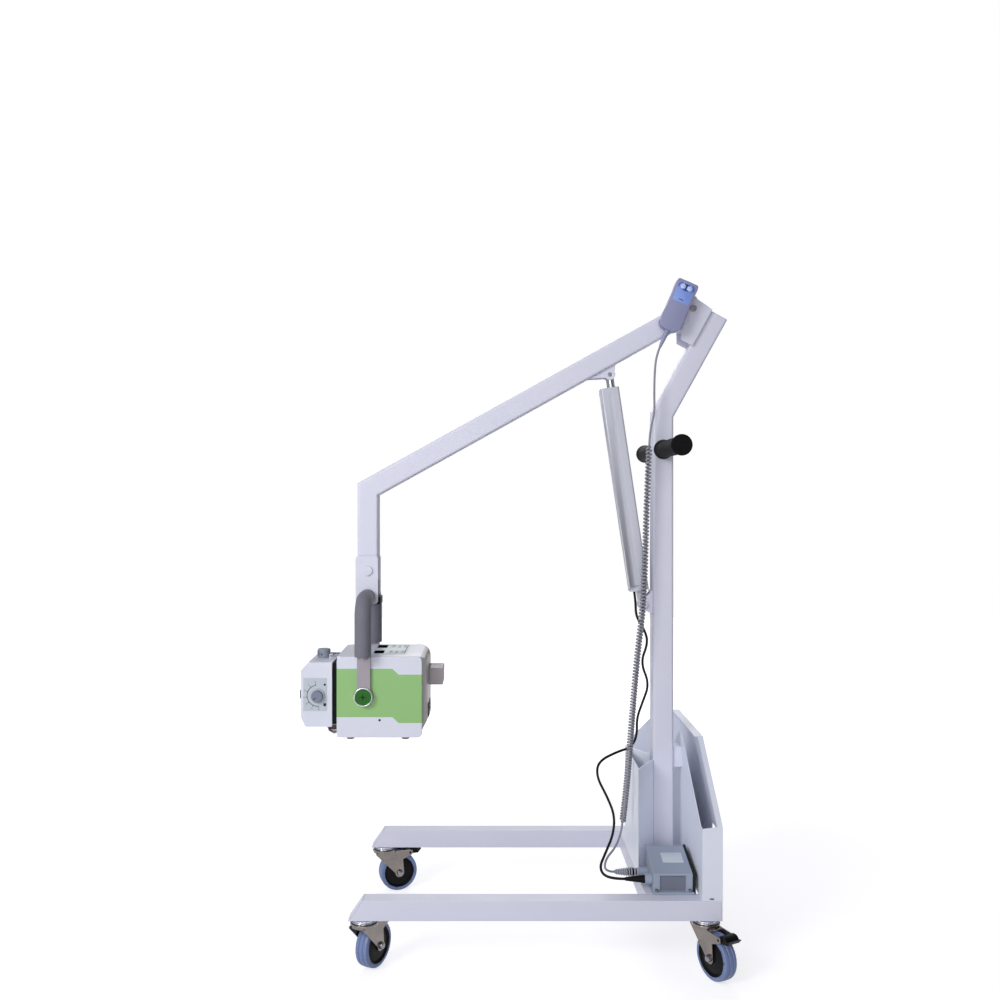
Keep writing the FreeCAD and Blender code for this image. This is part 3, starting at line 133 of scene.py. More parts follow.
def ranged(tree: Tree, value: Socket, source: tuple[float, float],
           target: tuple[float, float]) -> Socket:
    """Map a socket's value from one range onto another.

    Args:
        tree: the tree that gets the node.
        value: the socket.
        source: the range that it comes in.
        target: the range that it leaves in.

    Returns:
        The result's socket.
    """
    limits = {"From Min": source[0], "From Max": source[1], "To Min": target[0], "To Max": target[1]}
    return add(tree, "ShaderNodeMapRange", {"Value": value, **limits}).outputs[0]


class Grain(Enum):
    """How the fine relief of a finish is drawn."""

    NONE = "none"
    PEEL = "peel"
    SPARK = "spark"
    FOAM = "foam"
    DRAWN = "drawn"


@dataclass(frozen=True)
class Finish:
    """One real finish: its two shades, its gloss and the size of its relief in millimetres."""

    name: str
    colour: str
    shade: str
    drift_mm: float = 60.0
    gloss: tuple[float, float] = (0.4, 0.5)
    metallic: float = 0.0
    grain: Grain = Grain.SPARK
    grain_mm: float = 0.8
    relief_mm: float = 0.02
    round_mm: float = 0.0
    sheen: float = 0.0
    specular: float = 0.5
    see_through: float = 0.0

    def material(self) -> bpy.types.Material:
        """Build the node material once and give it back after that."""
        ready = bpy.data.materials.get(self.name)
        if ready:
            return ready
        made = bpy.data.materials.new(self.name)
        made.use_nodes = True
        tree = made.node_tree
        tree.nodes.clear()
        place = add(tree, "ShaderNodeTexCoord").outputs["Object"]
        tone = self._tone(tree, place)
        # Handling dulls the surface in patches a good deal finer than the drift of its colour
        rub = add(tree, "ShaderNodeTexNoise", {"Vector": place, "Scale": 2600 / self.drift_mm, "Detail": 5.0})
        shader = add(tree, "ShaderNodeBsdfPrincipled", {
            "Base Color": tone, "Roughness": ranged(tree, rub.outputs["Fac"], (0.3, 0.7), self.gloss),
            "Metallic": self.metallic, "Sheen Weight": self.sheen, "Specular IOR Level": self.specular,
            "Transmission Weight": self.see_through})
        relief = self._relief(tree, place)
        normal = None
        if self.round_mm:
            normal = add(tree, "ShaderNodeBevel", {"Radius": self.round_mm / 1000}, samples=4).outputs[0]
        if relief is not None:
            bump = add(tree, "ShaderNodeBump", {"Height": relief, "Strength": 1.0, "Distance": self.relief_mm / 1000})
            if normal is not None:
                tree.links.new(normal, bump.inputs["Normal"])
            normal = bump.outputs[0]
        if normal is not None:
            tree.links.new(normal, shader.inputs["Normal"])
        add(tree, "ShaderNodeOutputMaterial", {"Surface": shader.outputs[0]})
        return made

    def _tone(self, tree: Tree, place: Socket) -> Socket:
        """Drift the colour slowly between the two shades.

        Args:
            tree: the material's tree.
            place: the object coordinates in metres.

        Returns:
            The colour socket.
        """
        drift = add(tree, "ShaderNodeTexNoise", {"Vector": place, "Scale": 1000 / self.drift_mm, "Detail": 3.0})
        return add(tree, "ShaderNodeMix", {0: drift.outputs["Fac"], 6: srgb(self.colour), 7: srgb(self.shade)},
                   data_type="RGBA").outputs[2]

    def _relief(self, tree: Tree, place: Socket) -> Socket | None:
        """Draw the fine relief.

        Args:
            tree: the material's tree.
            place: the object coordinates in metres.

        Returns:
            The height socket, or nothing for a smooth finish.
        """
        per_metre = 1000 / self.grain_mm
        noise: dict = {"Vector": place, "Scale": per_metre}
        if self.grain is Grain.NONE:
            return None
        if self.grain is Grain.FOAM:
            return add(tree, "ShaderNodeTexVoronoi", noise).outputs["Distance"]
        if self.grain is Grain.PEEL:
            noise["Detail"] = 1.0
        elif self.grain is Grain.SPARK:
            noise.update({"Detail": 4.0, "Roughness": 0.7})
        else:
            stretch = (per_metre, per_metre, per_metre / DRAWN_STRETCH)
            drawn = add(tree, "ShaderNodeMapping", {"Vector": place, "Scale": stretch}).outputs[0]
            noise.update({"Vector": drawn, "Scale": 1.0, "Detail": 2.0})
        return add(tree, "ShaderNodeTexNoise", noise).outputs["Fac"]


@dataclass(frozen=True)
class BandedFinish(Finish):
    """A finish with a printed band along it that steps down to the rear of a slanted joint."""

    band: str = "#8CBB74"
    low_mm: float = 536.5
    high_mm: float = 650.3
    step_mm: float = 13.8
    step_from: float = -650.0
    step_to: float = -635.0

    def _tone(self, tree: Tree, place: Socket) -> Socket:
        """Lay the band over the drifting colour.

        Args:
            tree: the material's tree.
            place: the object coordinates in metres.

        Returns:
            The colour socket.
        """
        base = super()._tone(tree, place)
        axes = add(tree, "ShaderNodeSeparateXYZ", {0: place}).outputs
        joint = (self.step_from / 1000 + COLUMN_X, self.step_to / 1000 + COLUMN_X)
        height = maths(tree, "ADD", axes[2], ranged(tree, axes[0], joint, (0.0, self.step_mm / 1000)))
        above = maths(tree, "GREATER_THAN", height, self.low_mm / 1000)
        inside = maths(tree, "MULTIPLY", above, maths(tree, "LESS_THAN", height, self.high_mm / 1000))
        return add(tree, "ShaderNodeMix", {0: inside, 6: base, 7: srgb(self.band)}, data_type="RGBA").outputs[2]


class Finishes:
    """The finishes of this machine, each named for the real material."""

    # Polyester powder coat on welded steel: a soft sheen with faint orange peel about 1.5 mm across
    powder_white = Finish("powder_coat_white", "#D9DAE9", "#D3D4E4", 180, (0.38, 0.48), grain=Grain.PEEL,
                          grain_mm=1.5, relief_mm=0.012, round_mm=1.2)
    # The same coat on folded sheet, a touch lighter and bluer
    powder_sheet = Finish("powder_coat_sheet", "#E4E8F5", "#DDE2F0", 160, (0.36, 0.46), grain=Grain.PEEL,
                          grain_mm=1.5, relief_mm=0.015, round_mm=0.8)
    # The shroud round the column's foot: the sheet's coat painted lighter, as painted light
    powder_shroud = replace(powder_sheet, name="powder_coat_shroud", colour="#F1F5FF", shade="#EAEFFB")
    # Painted aluminium covers of the head: smooth, semi-gloss and almost flat in colour
    cover_white = Finish("painted_cover_white", "#DADCE9", "#D4D7E5", 120, (0.3, 0.38), grain=Grain.PEEL,
                         grain_mm=1.2, relief_mm=0.012, round_mm=0.6)
    # The rear wall between the side covers: the same paint darkened to a warmer grey, as painted shade
    cover_rear = Finish("painted_rear_wall", "#BEB9B5", "#B5B0AC", 90, (0.34, 0.44), grain=Grain.PEEL, grain_mm=1.2,
                        relief_mm=0.012, round_mm=0.6)
    # The side covers carry a screen-printed leaf-green band: flat ink, a little duller than the paint
    cover_printed = BandedFinish("printed_cover", "#DADCE9", "#D4D7E5", 120, (0.34, 0.44), grain=Grain.PEEL,
                                 grain_mm=1.2, relief_mm=0.01, round_mm=0.6)
    # Moulded nylon hub caps and rocker: deep green and glossy
    cap_green = Finish("nylon_cap_green", "#17690E", "#135A0C", 30, (0.26, 0.36), grain_mm=0.6, relief_mm=0.01,
                       specular=0.25)
    # Turned aluminium collar round the green cap
    ring_bright = Finish("satin_aluminium_ring", "#D6D6DA", "#C6C6CB", 20, (0.22, 0.3), 0.8, Grain.NONE)
    # Closed-cell foam sleeve: grey, fine pores about 0.8 mm
    sleeve_grey = Finish("foam_sleeve_grey", "#747380", "#6A6975", 50, (0.72, 0.82), grain=Grain.FOAM, grain_mm=0.9,
                         relief_mm=0.05, sheen=0.15)
    # Moulded knob plastic: grey-blue, fine texture
    knob_grey = Finish("abs_knob_grey", "#87929D", "#7F8A95", 40, (0.42, 0.52), grain_mm=0.6, relief_mm=0.02)
    # The dial's grip: a darker blue-grey of the same plastic
    knob_dark = replace(knob_grey, name="abs_knob_slate", colour="#788093", shade="#70788B")
    # The dial's pale skirt: the same plastic in light grey
    knob_pale = replace(knob_grey, name="abs_knob_pale", colour="#B4B9C0", shade="#ABB1B9")
    # Die-cast and painted control box: blue-grey with a fine texture
    box_grey = Finish("textured_box_grey", "#97A1B3", "#8F99AC", 60, (0.45, 0.55), grain_mm=0.9, relief_mm=0.04)
    # The same casting, darker on its recessed near face: painted shade
    box_recess = Finish("textured_box_recess", "#6F7484", "#676C7C", 30, (0.5, 0.6), grain_mm=0.9, relief_mm=0.04)
    # Zinc-plated pressed steel with cloudy patches; its brown tint is a painted reflection of the dark surroundings
    zinc = Finish("zinc_plated_steel", "#918A86", "#746D69", 26, (0.18, 0.3), 1.0, Grain.NONE, round_mm=0.8)
    # The turned ball race keeps its bright blue passivation
    zinc_bright = Finish("zinc_passivated_race", "#D6DAE2", "#B9BEC8", 14, (0.14, 0.24), 1.0, Grain.NONE,
                         round_mm=0.6)
    # Hard-chromed rod: mirror bright
    chrome = Finish("hard_chrome", "#E2E4E8", "#D8DADF", 40, (0.06, 0.1), 1.0, Grain.NONE)
    # Nickel-plated fasteners, latch wires and the lower latch's lever
    nickel = Finish("nickel_plated_screws", "#95969C", "#7C7D84", 12, (0.28, 0.4), 1.0, Grain.NONE)
    # Anodised aluminium extrusion: silver, with die lines along its length
    extrusion = Finish("anodised_extrusion", "#C2C4CE", "#BABCC8", 90, (0.42, 0.5), 0.35, Grain.DRAWN, 0.8, 0.008,
                       round_mm=0.5)
    # Brushed and lacquered steel of the carrying handle's straps
    strap_steel = Finish("satin_anodised_strap", "#938C94", "#878087", 60, (0.34, 0.46), 0.6, Grain.DRAWN, 0.7, 0.01)
    # Polyurethane tyre of grey rubber, painted blue-grey: the blue tint is painted light; smooth and slightly waxy
    tyre = Finish("polyurethane_tyre", "#7687B2", "#6A7BA6", 30, (0.4, 0.5), grain_mm=1.1, relief_mm=0.03)
    # Ribbed strain relief of the handset's plug: pale grey rubber
    relief_grey = Finish("relief_rubber_grey", "#A2A5B0", "#989BA7", 20, (0.45, 0.55), grain_mm=0.8, relief_mm=0.02)
    # Glass-filled nylon: wheel centres, brake pedals, saddle clamp, mains inlet and the actuator's plug
    nylon_black = Finish("nylon_black", "#0B0B0E", "#111115", 20, (0.42, 0.56), grain_mm=0.8, relief_mm=0.03,
                         specular=0.12)
    # Neoprene foam sleeves of the push bar: black, with pores about 1 mm across
    foam_black = Finish("neoprene_foam_black", "#060608", "#0A0A0C", 15, (0.66, 0.78), grain=Grain.FOAM, grain_mm=1.0,
                        relief_mm=0.04, specular=0.12)
    # Soft PVC cord jacket, black
    jacket_black = Finish("pvc_jacket_black", "#060609", "#0B0B0E", 20, (0.36, 0.48), grain_mm=0.8, relief_mm=0.012,
                          specular=0.18)
    # Soft polyurethane lead, grey
    jacket_grey = Finish("polyurethane_lead_grey", "#8C8D9B", "#828391", 20, (0.38, 0.48), grain_mm=0.8,
                         relief_mm=0.012)
    # Curly cord jacket: the same grey polyurethane, glossier from being wound on a mandrel
    jacket_curl = replace(jacket_grey, name="curly_cord_jacket", colour="#8B8C97", shade="#80818C", gloss=(0.22, 0.32))
    # Handset shell: lavender-grey ABS with a fine texture
    handset = Finish("abs_handset_lavender", "#9092B4", "#898BAE", 50, (0.45, 0.55), grain_mm=0.7, relief_mm=0.03)
    # Printed membrane of the handset: light blue, satin
    membrane_blue = Finish("membrane_blue", "#7792D8", "#829EE0", 30, (0.32, 0.42), grain_mm=0.5, relief_mm=0.01)
    # Domed button skin: pale, translucent-looking polyester
    button_pale = Finish("button_dome_pale", "#C3D0F2", "#B4C5EE", 12, (0.25, 0.35), grain=Grain.NONE)
    # Screen-printed inks and the displays' dark glass, flat and without relief; the black also fills screw crosses, a
    # slot and a hole, and the dark green the caps' pressed cross, as painted shade
    ink_black = Finish("screen_ink_black", "#121215", "#17171B", 10, (0.4, 0.5), grain=Grain.NONE, specular=0.2)
    display = Finish("display_glass_black", "#08090B", "#0C0E10", 10, (0.6, 0.7), grain=Grain.NONE, specular=0.0)
    ink_blue = Finish("membrane_ink_blue", "#1F2F6E", "#24357A", 10, (0.35, 0.45), grain=Grain.NONE)
    green_dark = Finish("cap_recess_green", "#0A3309", "#082C08", 10, (0.5, 0.6), grain=Grain.NONE, specular=0.2)
    ink_grey = Finish("screen_ink_grey", "#8A93A0", "#7E8794", 10, (0.4, 0.5), grain=Grain.NONE)
    ink_green = Finish("screen_ink_green", "#8FC1A8", "#84B79D", 10, (0.4, 0.5), grain=Grain.NONE)
    # Printed polyester overlay: pale, satin
    overlay = Finish("polyester_overlay", "#C6CFD7", "#BEC8D0", 30, (0.34, 0.42), grain_mm=0.5, relief_mm=0.008)
    # The same film round the dial, a little greyer
    overlay_grey = replace(overlay, name="dial_overlay_grey", colour="#BFC6CF", shade="#B8C0CA", gloss=(0.38, 0.46))
    # Moulded rubber seal: black with dust in its folds; also the black strip painted as the control box's shadow
    seal = Finish("moulded_seal_black", "#101214", "#1A1D1F", 12, (0.6, 0.74), grain_mm=1.0, relief_mm=0.04,
                  specular=0.25)
    # Dark brown pad inside the lower latch's lever: painted shade of the lever's hollow
    foot_dark = Finish("latch_pad_brown", "#4A2E28", "#3D2622", 12, (0.4, 0.5), grain_mm=0.9, relief_mm=0.02)
    # Rubber feet: warm brown-grey
    foot = Finish("rubber_foot_brown", "#86695C", "#785D51", 12, (0.6, 0.7), grain_mm=0.9, relief_mm=0.03)
    # Clear polycarbonate beam window
    window = Finish("polycarbonate_window", "#DDE3E6", "#D6DDE0", 40, (0.05, 0.1), grain=Grain.NONE,
                    see_through=0.75)
    # Grey moulded connector block at the head's rear
    block_grey = Finish("abs_block_grey", "#A59FA1", "#9C9698", 40, (0.42, 0.52), grain_mm=0.8, relief_mm=0.03)
    # Soft pale floor sweep
    floor = Finish("paper_sweep", "#BEBEC4", "#BABAC0", 900, (0.8, 0.9), grain=Grain.NONE)


def to_object(name: str, mesh: bpy.types.Mesh, finish: Finish | None) -> Piece:
    """Put a mesh in the scene at the origin.

    Args:
        name: the piece's name.
        mesh: its mesh, already in place.
        finish: its only finish, or nothing when the mesh has its own.

    Returns:
        The new object.
    """
    made = bpy.data.objects.new(name, mesh)
    bpy.context.scene.collection.objects.link(made)
    if finish:
        mesh.materials.clear()
        mesh.materials.append(finish.material())
    return made


def smooth(mesh: bpy.types.Mesh, angle: float = 32.0) -> None:
    """Shade a mesh smooth and keep the edges sharper than an angle crisp."""
    mesh.shade_smooth()
    mesh.set_sharp_from_angle(angle=math.radians(angle))


def baked(piece: Piece) -> Piece:
    """Turn an object's modifiers into a plain mesh.

    Args:
        piece: an object with modifiers.

    Returns:
        The same object with its mesh replaced and no modifiers.
    """
    graph = bpy.context.evaluated_depsgraph_get()
    mesh = bpy.data.meshes.new_from_object(piece.evaluated_get(graph), preserve_all_data_layers=True, depsgraph=graph)
    piece.modifiers.clear()
    piece.data = mesh
    mesh.name = piece.name
    return piece


def softened(piece: Piece, width_mm: float, steps: int = 2, angle: float = 35.0) -> Piece:
    """Round an object's crisp edges by a bevel and bake it in.

    Args:
        piece: the object.
        width_mm: the bevel's width.
        steps: segments across the bevel.
        angle: edges sharper than this are rounded.

    Returns:
        The same object.
    """
    bevel = piece.modifiers.new("edge", "BEVEL")
    bevel.width = width_mm / 1000
    bevel.segments = steps
    bevel.limit_method = "ANGLE"
    bevel.angle_limit = math.radians(angle)
    bevel.use_clamp_overlap = True
    bevel.miter_outer = "MITER_ARC"
    baked(piece)
    smooth(piece.data)
    flat = piece.modifiers.new("flat_faces", "WEIGHTED_NORMAL")
    flat.keep_sharp = True
    return baked(piece)


def join_mesh(name: str, groups: Iterable[tuple[Shape, Finish]]) -> Piece:
    """Join meshes that have different finishes into one object.

    Args:
        name: the piece's name.
        groups: each mesh with its finish.

    Returns:
        The joined object.
    """
    whole = bmesh.new()
    finishes: list[Finish] = []
    for part_mesh, finish in groups:
        if finish not in finishes:
            finishes.append(finish)
        slot = finishes.index(finish)
        for face in part_mesh.faces:
            face.material_index = slot
        spare = bpy.data.meshes.new("spare")
        part_mesh.to_mesh(spare)
        part_mesh.free()
        whole.from_mesh(spare)
        bpy.data.meshes.remove(spare)
    mesh = bpy.data.meshes.new(name)
    whole.to_mesh(mesh)
    whole.free()
    made = to_object(name, mesh, None)
    for finish in finishes:
        mesh.materials.append(finish.material())
    smooth(mesh)
    return made


def lathe(profile: Outline, origin: Vector, axis: Vector, steps: int = 64) -> Shape:
    """Turn a profile about an axis.

    Args:
        profile: pairs of millimetres along the axis and radius, from axis to axis or back to its first pair.
        origin: the point that the profile's first number starts from.
        axis: the direction of the axis.
        steps: segments round the axis.

    Returns:
        The closed mesh.
    """
    axis = axis.normalized()
    side = axis.orthogonal().normalized()
    made = bmesh.new()
    ring = [made.verts.new(origin + axis * (a / 1000) + side * (r / 1000)) for a, r in profile]
    edges = [made.edges.new((ring[i], ring[i + 1])) for i in range(len(ring) - 1)]
    bmesh.ops.spin(made, geom=ring + edges, cent=origin, axis=axis, angle=math.tau, steps=steps, use_merge=True)
    bmesh.ops.remove_doubles(made, verts=made.verts, dist=1e-6)
    bmesh.ops.recalc_face_normals(made, faces=made.faces)
    return made


def slab(outline: Outline, origin: Vector, right: Vector, up: Vector, thick_mm: float,
         edge_mm: float = 0.0, steps: int = 2) -> Shape:
    """Thicken a closed outline and round its rim.

    Args:
        outline: pairs of millimetres along right and up.
        origin: the outline's zero point.
        right: the first direction.
        up: the second direction.
        thick_mm: thickness along right cross up.
        edge_mm: radius of the rim's bevel.
        steps: segments across the bevel.

    Returns:
        The closed mesh.
    """
    made = bmesh.new()
    right, up = right.normalized(), up.normalized()
    out = right.cross(up)
    verts = [made.verts.new(origin + right * (a / 1000) + up * (b / 1000)) for a, b in outline]
    face = made.faces.new(verts)
    grown = bmesh.ops.extrude_face_region(made, geom=[face])
    moved = [v for v in grown["geom"] if isinstance(v, bmesh.types.BMVert)]
    bmesh.ops.translate(made, verts=moved, vec=out * (thick_mm / 1000))
    bmesh.ops.recalc_face_normals(made, faces=made.faces)
    if edge_mm:
        bmesh.ops.bevel(made, geom=list(made.edges), offset=edge_mm / 1000, segments=steps, profile=0.5,
                        affect="EDGES", clamp_overlap=True)
    return made


def rounded_outline(x0: float, x1: float, y0: float, y1: float, radius: float,
                    steps: int = 6) -> Outline:
    """List the points of a rectangle with round corners.

    Args:
        x0: low first edge in millimetres.
        x1: high first edge.
        y0: low second edge.
        y1: high second edge.
        radius: corner radius.
        steps: segments in each corner.

    Returns:
        The outline, counter-clockwise.
    """
    points = []
    for cx, cy, start in ((x1 - radius, y0 + radius, -90), (x1 - radius, y1 - radius, 0),
                          (x0 + radius, y1 - radius, 90), (x0 + radius, y0 + radius, 180)):
        for i in range(steps + 1):
            a = math.radians(start + 90 * i / steps)
            points.append((cx + radius * math.cos(a), cy + radius * math.sin(a)))
    return points


def dressed_copy(node: str, body: str, finish: Finish, edge_mm: float = 0.6, angle: float = 35.0,
                 extra: Sequence[tuple[Finish, Picker]] = ()) -> Piece:
    """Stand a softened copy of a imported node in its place.

    Args:
        node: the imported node.
        body: the body that it rides on.
        finish: the copy's finish.
        edge_mm: bevel width on its crisp edges, or zero for none.
        angle: edges sharper than this are rounded.
        extra: finishes for the faces that a test of their corners and normal picks.

    Returns:
        The piece that stands for the node.
    """
    source = bpy.data.objects[node]
    work = bmesh.new()
    work.from_mesh(source.data)
    bmesh.ops.remove_doubles(work, verts=work.verts, dist=WELD)
    bmesh.ops.dissolve_limit(work, angle_limit=math.radians(1.0), verts=work.verts, edges=work.edges)
    mesh = bpy.data.meshes.new(node + "_dressed")
    work.to_mesh(mesh)
    work.free()
    piece = to_object(node + "_dressed", mesh, finish)
    if edge_mm:
        softened(piece, edge_mm, 2, angle)
    else:
        smooth(mesh)
    mesh = piece.data
    for other, picks in extra:
        mesh.materials.append(other.material())
        slot = len(mesh.materials) - 1
        for face in mesh.polygons:
            corners = [(mesh.vertices[v].co - Vector((COLUMN_X, 0, 0))) * 1000 for v in face.vertices]
            if picks(corners, face.normal):
                face.material_index = slot
    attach(piece, body)
    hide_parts(node)
    LOG.info("dressed %s with %s", node, finish.name)
    return piece


def dress(body: str, *rows: tuple[str, Finish, float]) -> None:
    """Dress several nodes of one body.

    Args:
        body: the body that they ride on.
        rows: each node with its finish and its bevel width.
    """
    for node, finish, edge_mm in rows:
        dressed_copy(node, body, finish, edge_mm)


def detail(name: str, body: str, *groups: tuple[Shape, Finish]) -> Piece:
    """Join small shapes into one piece that rides on a body.

    Args:
        name: the piece's name.
        body: the body that it rides on.
        groups: each shape with its finish.

    Returns:
        The new piece.
    """
    piece = join_mesh(name, groups)
    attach(piece, body)
    return piece


def arc_strip(cx: float, cz: float, radius: float, width: float, start: float, end: float,
              steps: int = 28) -> Outline:
    """List the outline of a strip bent round a centre.

    Args:
        cx: the centre's first number in millimetres.
        cz: the centre's second number.
        radius: the strip's middle radius.
        width: its width.
        start: first angle in degrees, counter-clockwise from the first direction.
        end: last angle.
        steps: segments.

    Returns:
        The closed outline.
    """
    outer, inner = [], []
    for i in range(steps + 1):
        a = math.radians(start + (end - start) * i / steps)
        outer.append((cx + (radius + width / 2) * math.cos(a), cz + (radius + width / 2) * math.sin(a)))
        inner.append((cx + (radius - width / 2) * math.cos(a), cz + (radius - width / 2) * math.sin(a)))
    return outer + inner[::-1]


def numeral(text: str, size_mm: float, place: Matrix, depth_mm: float = 0.15) -> Shape:
    """Cut a plain number out of thin film.

    Args:
        text: the digits.
        size_mm: their height.
        place: where their middle goes, with z facing out.
        depth_mm: the film's thickness.

    Returns:
        The closed mesh.
    """
    data = bpy.data.curves.new("numeral", "FONT")
    data.body = text
    data.size = size_mm / 1000
    data.extrude = depth_mm / 2000
    data.align_x, data.align_y = "CENTER", "CENTER"
    data.resolution_u = 2
    spare = bpy.data.objects.new("numeral", data)
    bpy.context.scene.collection.objects.link(spare)
    mesh = bpy.data.meshes.new_from_object(spare.evaluated_get(bpy.context.evaluated_depsgraph_get()))
    bpy.data.objects.remove(spare)
    made = bmesh.new()
    made.from_mesh(mesh)
    bmesh.ops.remove_doubles(made, verts=made.verts, dist=1e-7)
    bmesh.ops.transform(made, matrix=place, verts=made.verts)
    return made


def repeat(name: str, unit: Shape, count: int, step: Vector | None, ring_mm: float, finish: Finish,
           place: Matrix) -> Piece:
    """Repeat a small shape along a line or round a ring with Geometry Nodes.

    Args:
        name: the piece's name.
        unit: the shape, drawn about the origin with its foot on z = 0.
        count: how many there are.
        step: the offset from one to the next in metres, or nothing for a ring.
        ring_mm: the ring's radius in millimetres, used when there is no step.
        finish: their finish.
        place: where the first one, or the ring's centre, goes.

    Returns:
        One plain mesh object.
    """
    tree = bpy.data.node_groups.new(name + "_pattern", "GeometryNodeTree")
    sockets = {}
    for label, kind in (("Geometry", "NodeSocketGeometry"), ("Unit", "NodeSocketObject"), ("Count", "NodeSocketInt"),
                        ("Offset", "NodeSocketVector"), ("Ring radius", "NodeSocketFloat"),
                        ("Finish", "NodeSocketMaterial")):
        sockets[label] = tree.interface.new_socket(name=label, in_out="INPUT", socket_type=kind).identifier
    tree.interface.new_socket(name="Geometry", in_out="OUTPUT", socket_type="NodeSocketGeometry")
    given = add(tree, "NodeGroupInput").outputs
    info = add(tree, "GeometryNodeObjectInfo", {"Object": given["Unit"]})
    if step is not None:
        points = add(tree, "GeometryNodeMeshLine", {"Count": given["Count"], "Offset": given["Offset"]}).outputs[0]
        turn: Socket | Point = (0.0, 0.0, 0.0)
    else:
        ring = {"Vertices": given["Count"], "Radius": given["Ring radius"]}
        points = add(tree, "GeometryNodeMeshCircle", ring).outputs[0]
        number = add(tree, "GeometryNodeInputIndex").outputs[0]
        angle = maths(tree, "MULTIPLY", maths(tree, "DIVIDE", number, given["Count"]), math.tau)
        turn = add(tree, "ShaderNodeCombineXYZ", {"Z": angle}).outputs[0]
    placed = add(tree, "GeometryNodeInstanceOnPoints", {"Points": points, "Instance": info.outputs["Geometry"],
                                                        "Rotation": turn})
    real = add(tree, "GeometryNodeRealizeInstances", {0: placed.outputs[0]})
    coloured = add(tree, "GeometryNodeSetMaterial", {"Geometry": real.outputs[0], "Material": given["Finish"]})
    add(tree, "NodeGroupOutput", {0: coloured.outputs[0]})
    seed = bpy.data.meshes.new(name + "_unit")
    unit.to_mesh(seed)
    unit.free()
    shape = to_object(name + "_unit", seed, finish)
    piece = to_object(name, bpy.data.meshes.new(name), finish)
    modifier = piece.modifiers.new("pattern", "NODES")
    modifier.node_group = tree
    modifier[sockets["Unit"]] = shape
    modifier[sockets["Count"]] = count
    modifier[sockets["Offset"]] = tuple(step) if step is not None else (0.0, 0.0, 0.0)
    modifier[sockets["Ring radius"]] = ring_mm / 1000
    modifier[sockets["Finish"]] = finish.material()
    baked(piece)
    bpy.data.objects.remove(shape)
    piece.data.transform(place)
    smooth(piece.data)
    return piece


def facing(origin: Vector, axis: Vector, side: Vector | None = None) -> Matrix:
    """Give the matrix that puts z along an axis at a point.

    Args:
        origin: the point.
        axis: where z goes.
        side: where x goes, as near as it can.

    Returns:
        The placing matrix.
    """
    z = axis.normalized()
    x = (side - z * side.dot(z)).normalized() if side is not None else z.orthogonal().normalized()
    y = z.cross(x)
    made = Matrix((x, y, z)).transposed().to_4x4()
    made.translation = origin
    return made


def route_of(curve_object: Piece) -> list[Vector]:
    """Read the smooth line of a route's spline as points."""
    bare = curve_object.copy()
    bare.data = curve_object.data.copy()
    bare.data.bevel_depth = 0.0
    bpy.context.scene.collection.objects.link(bare)
    mesh = bpy.data.meshes.new_from_object(bare.evaluated_get(bpy.context.evaluated_depsgraph_get()))
    points = [v.co.copy() for v in mesh.vertices]
    bpy.data.objects.remove(bare)
    return points


def spline_tube(name: str, points: Sequence[Vector], radius_mm: float, finish: Finish,
                fine: int = 10) -> Piece:
    """Make a round cord as one smooth spline through its control points.

    Args:
        name: the piece's name.
        points: the route's control points in metres.
        radius_mm: the cord's radius.
        finish: its jacket.
        fine: steps between control points.

    Returns:
        The curve object.
    """
    data = bpy.data.curves.new(name, "CURVE")
    data.dimensions = "3D"
    data.bevel_depth = radius_mm / 1000
    data.bevel_resolution = 4
    data.use_fill_caps = True
    data.resolution_u = fine
    spline = data.splines.new("NURBS")
    spline.points.add(len(points) - 1)
    for point, place in zip(spline.points, points):
        point.co = (*place, 1.0)
    spline.order_u = 3
    spline.use_endpoint_u = True
    data.materials.append(finish.material())
    made = bpy.data.objects.new(name, data)
    bpy.context.scene.collection.objects.link(made)
    return made


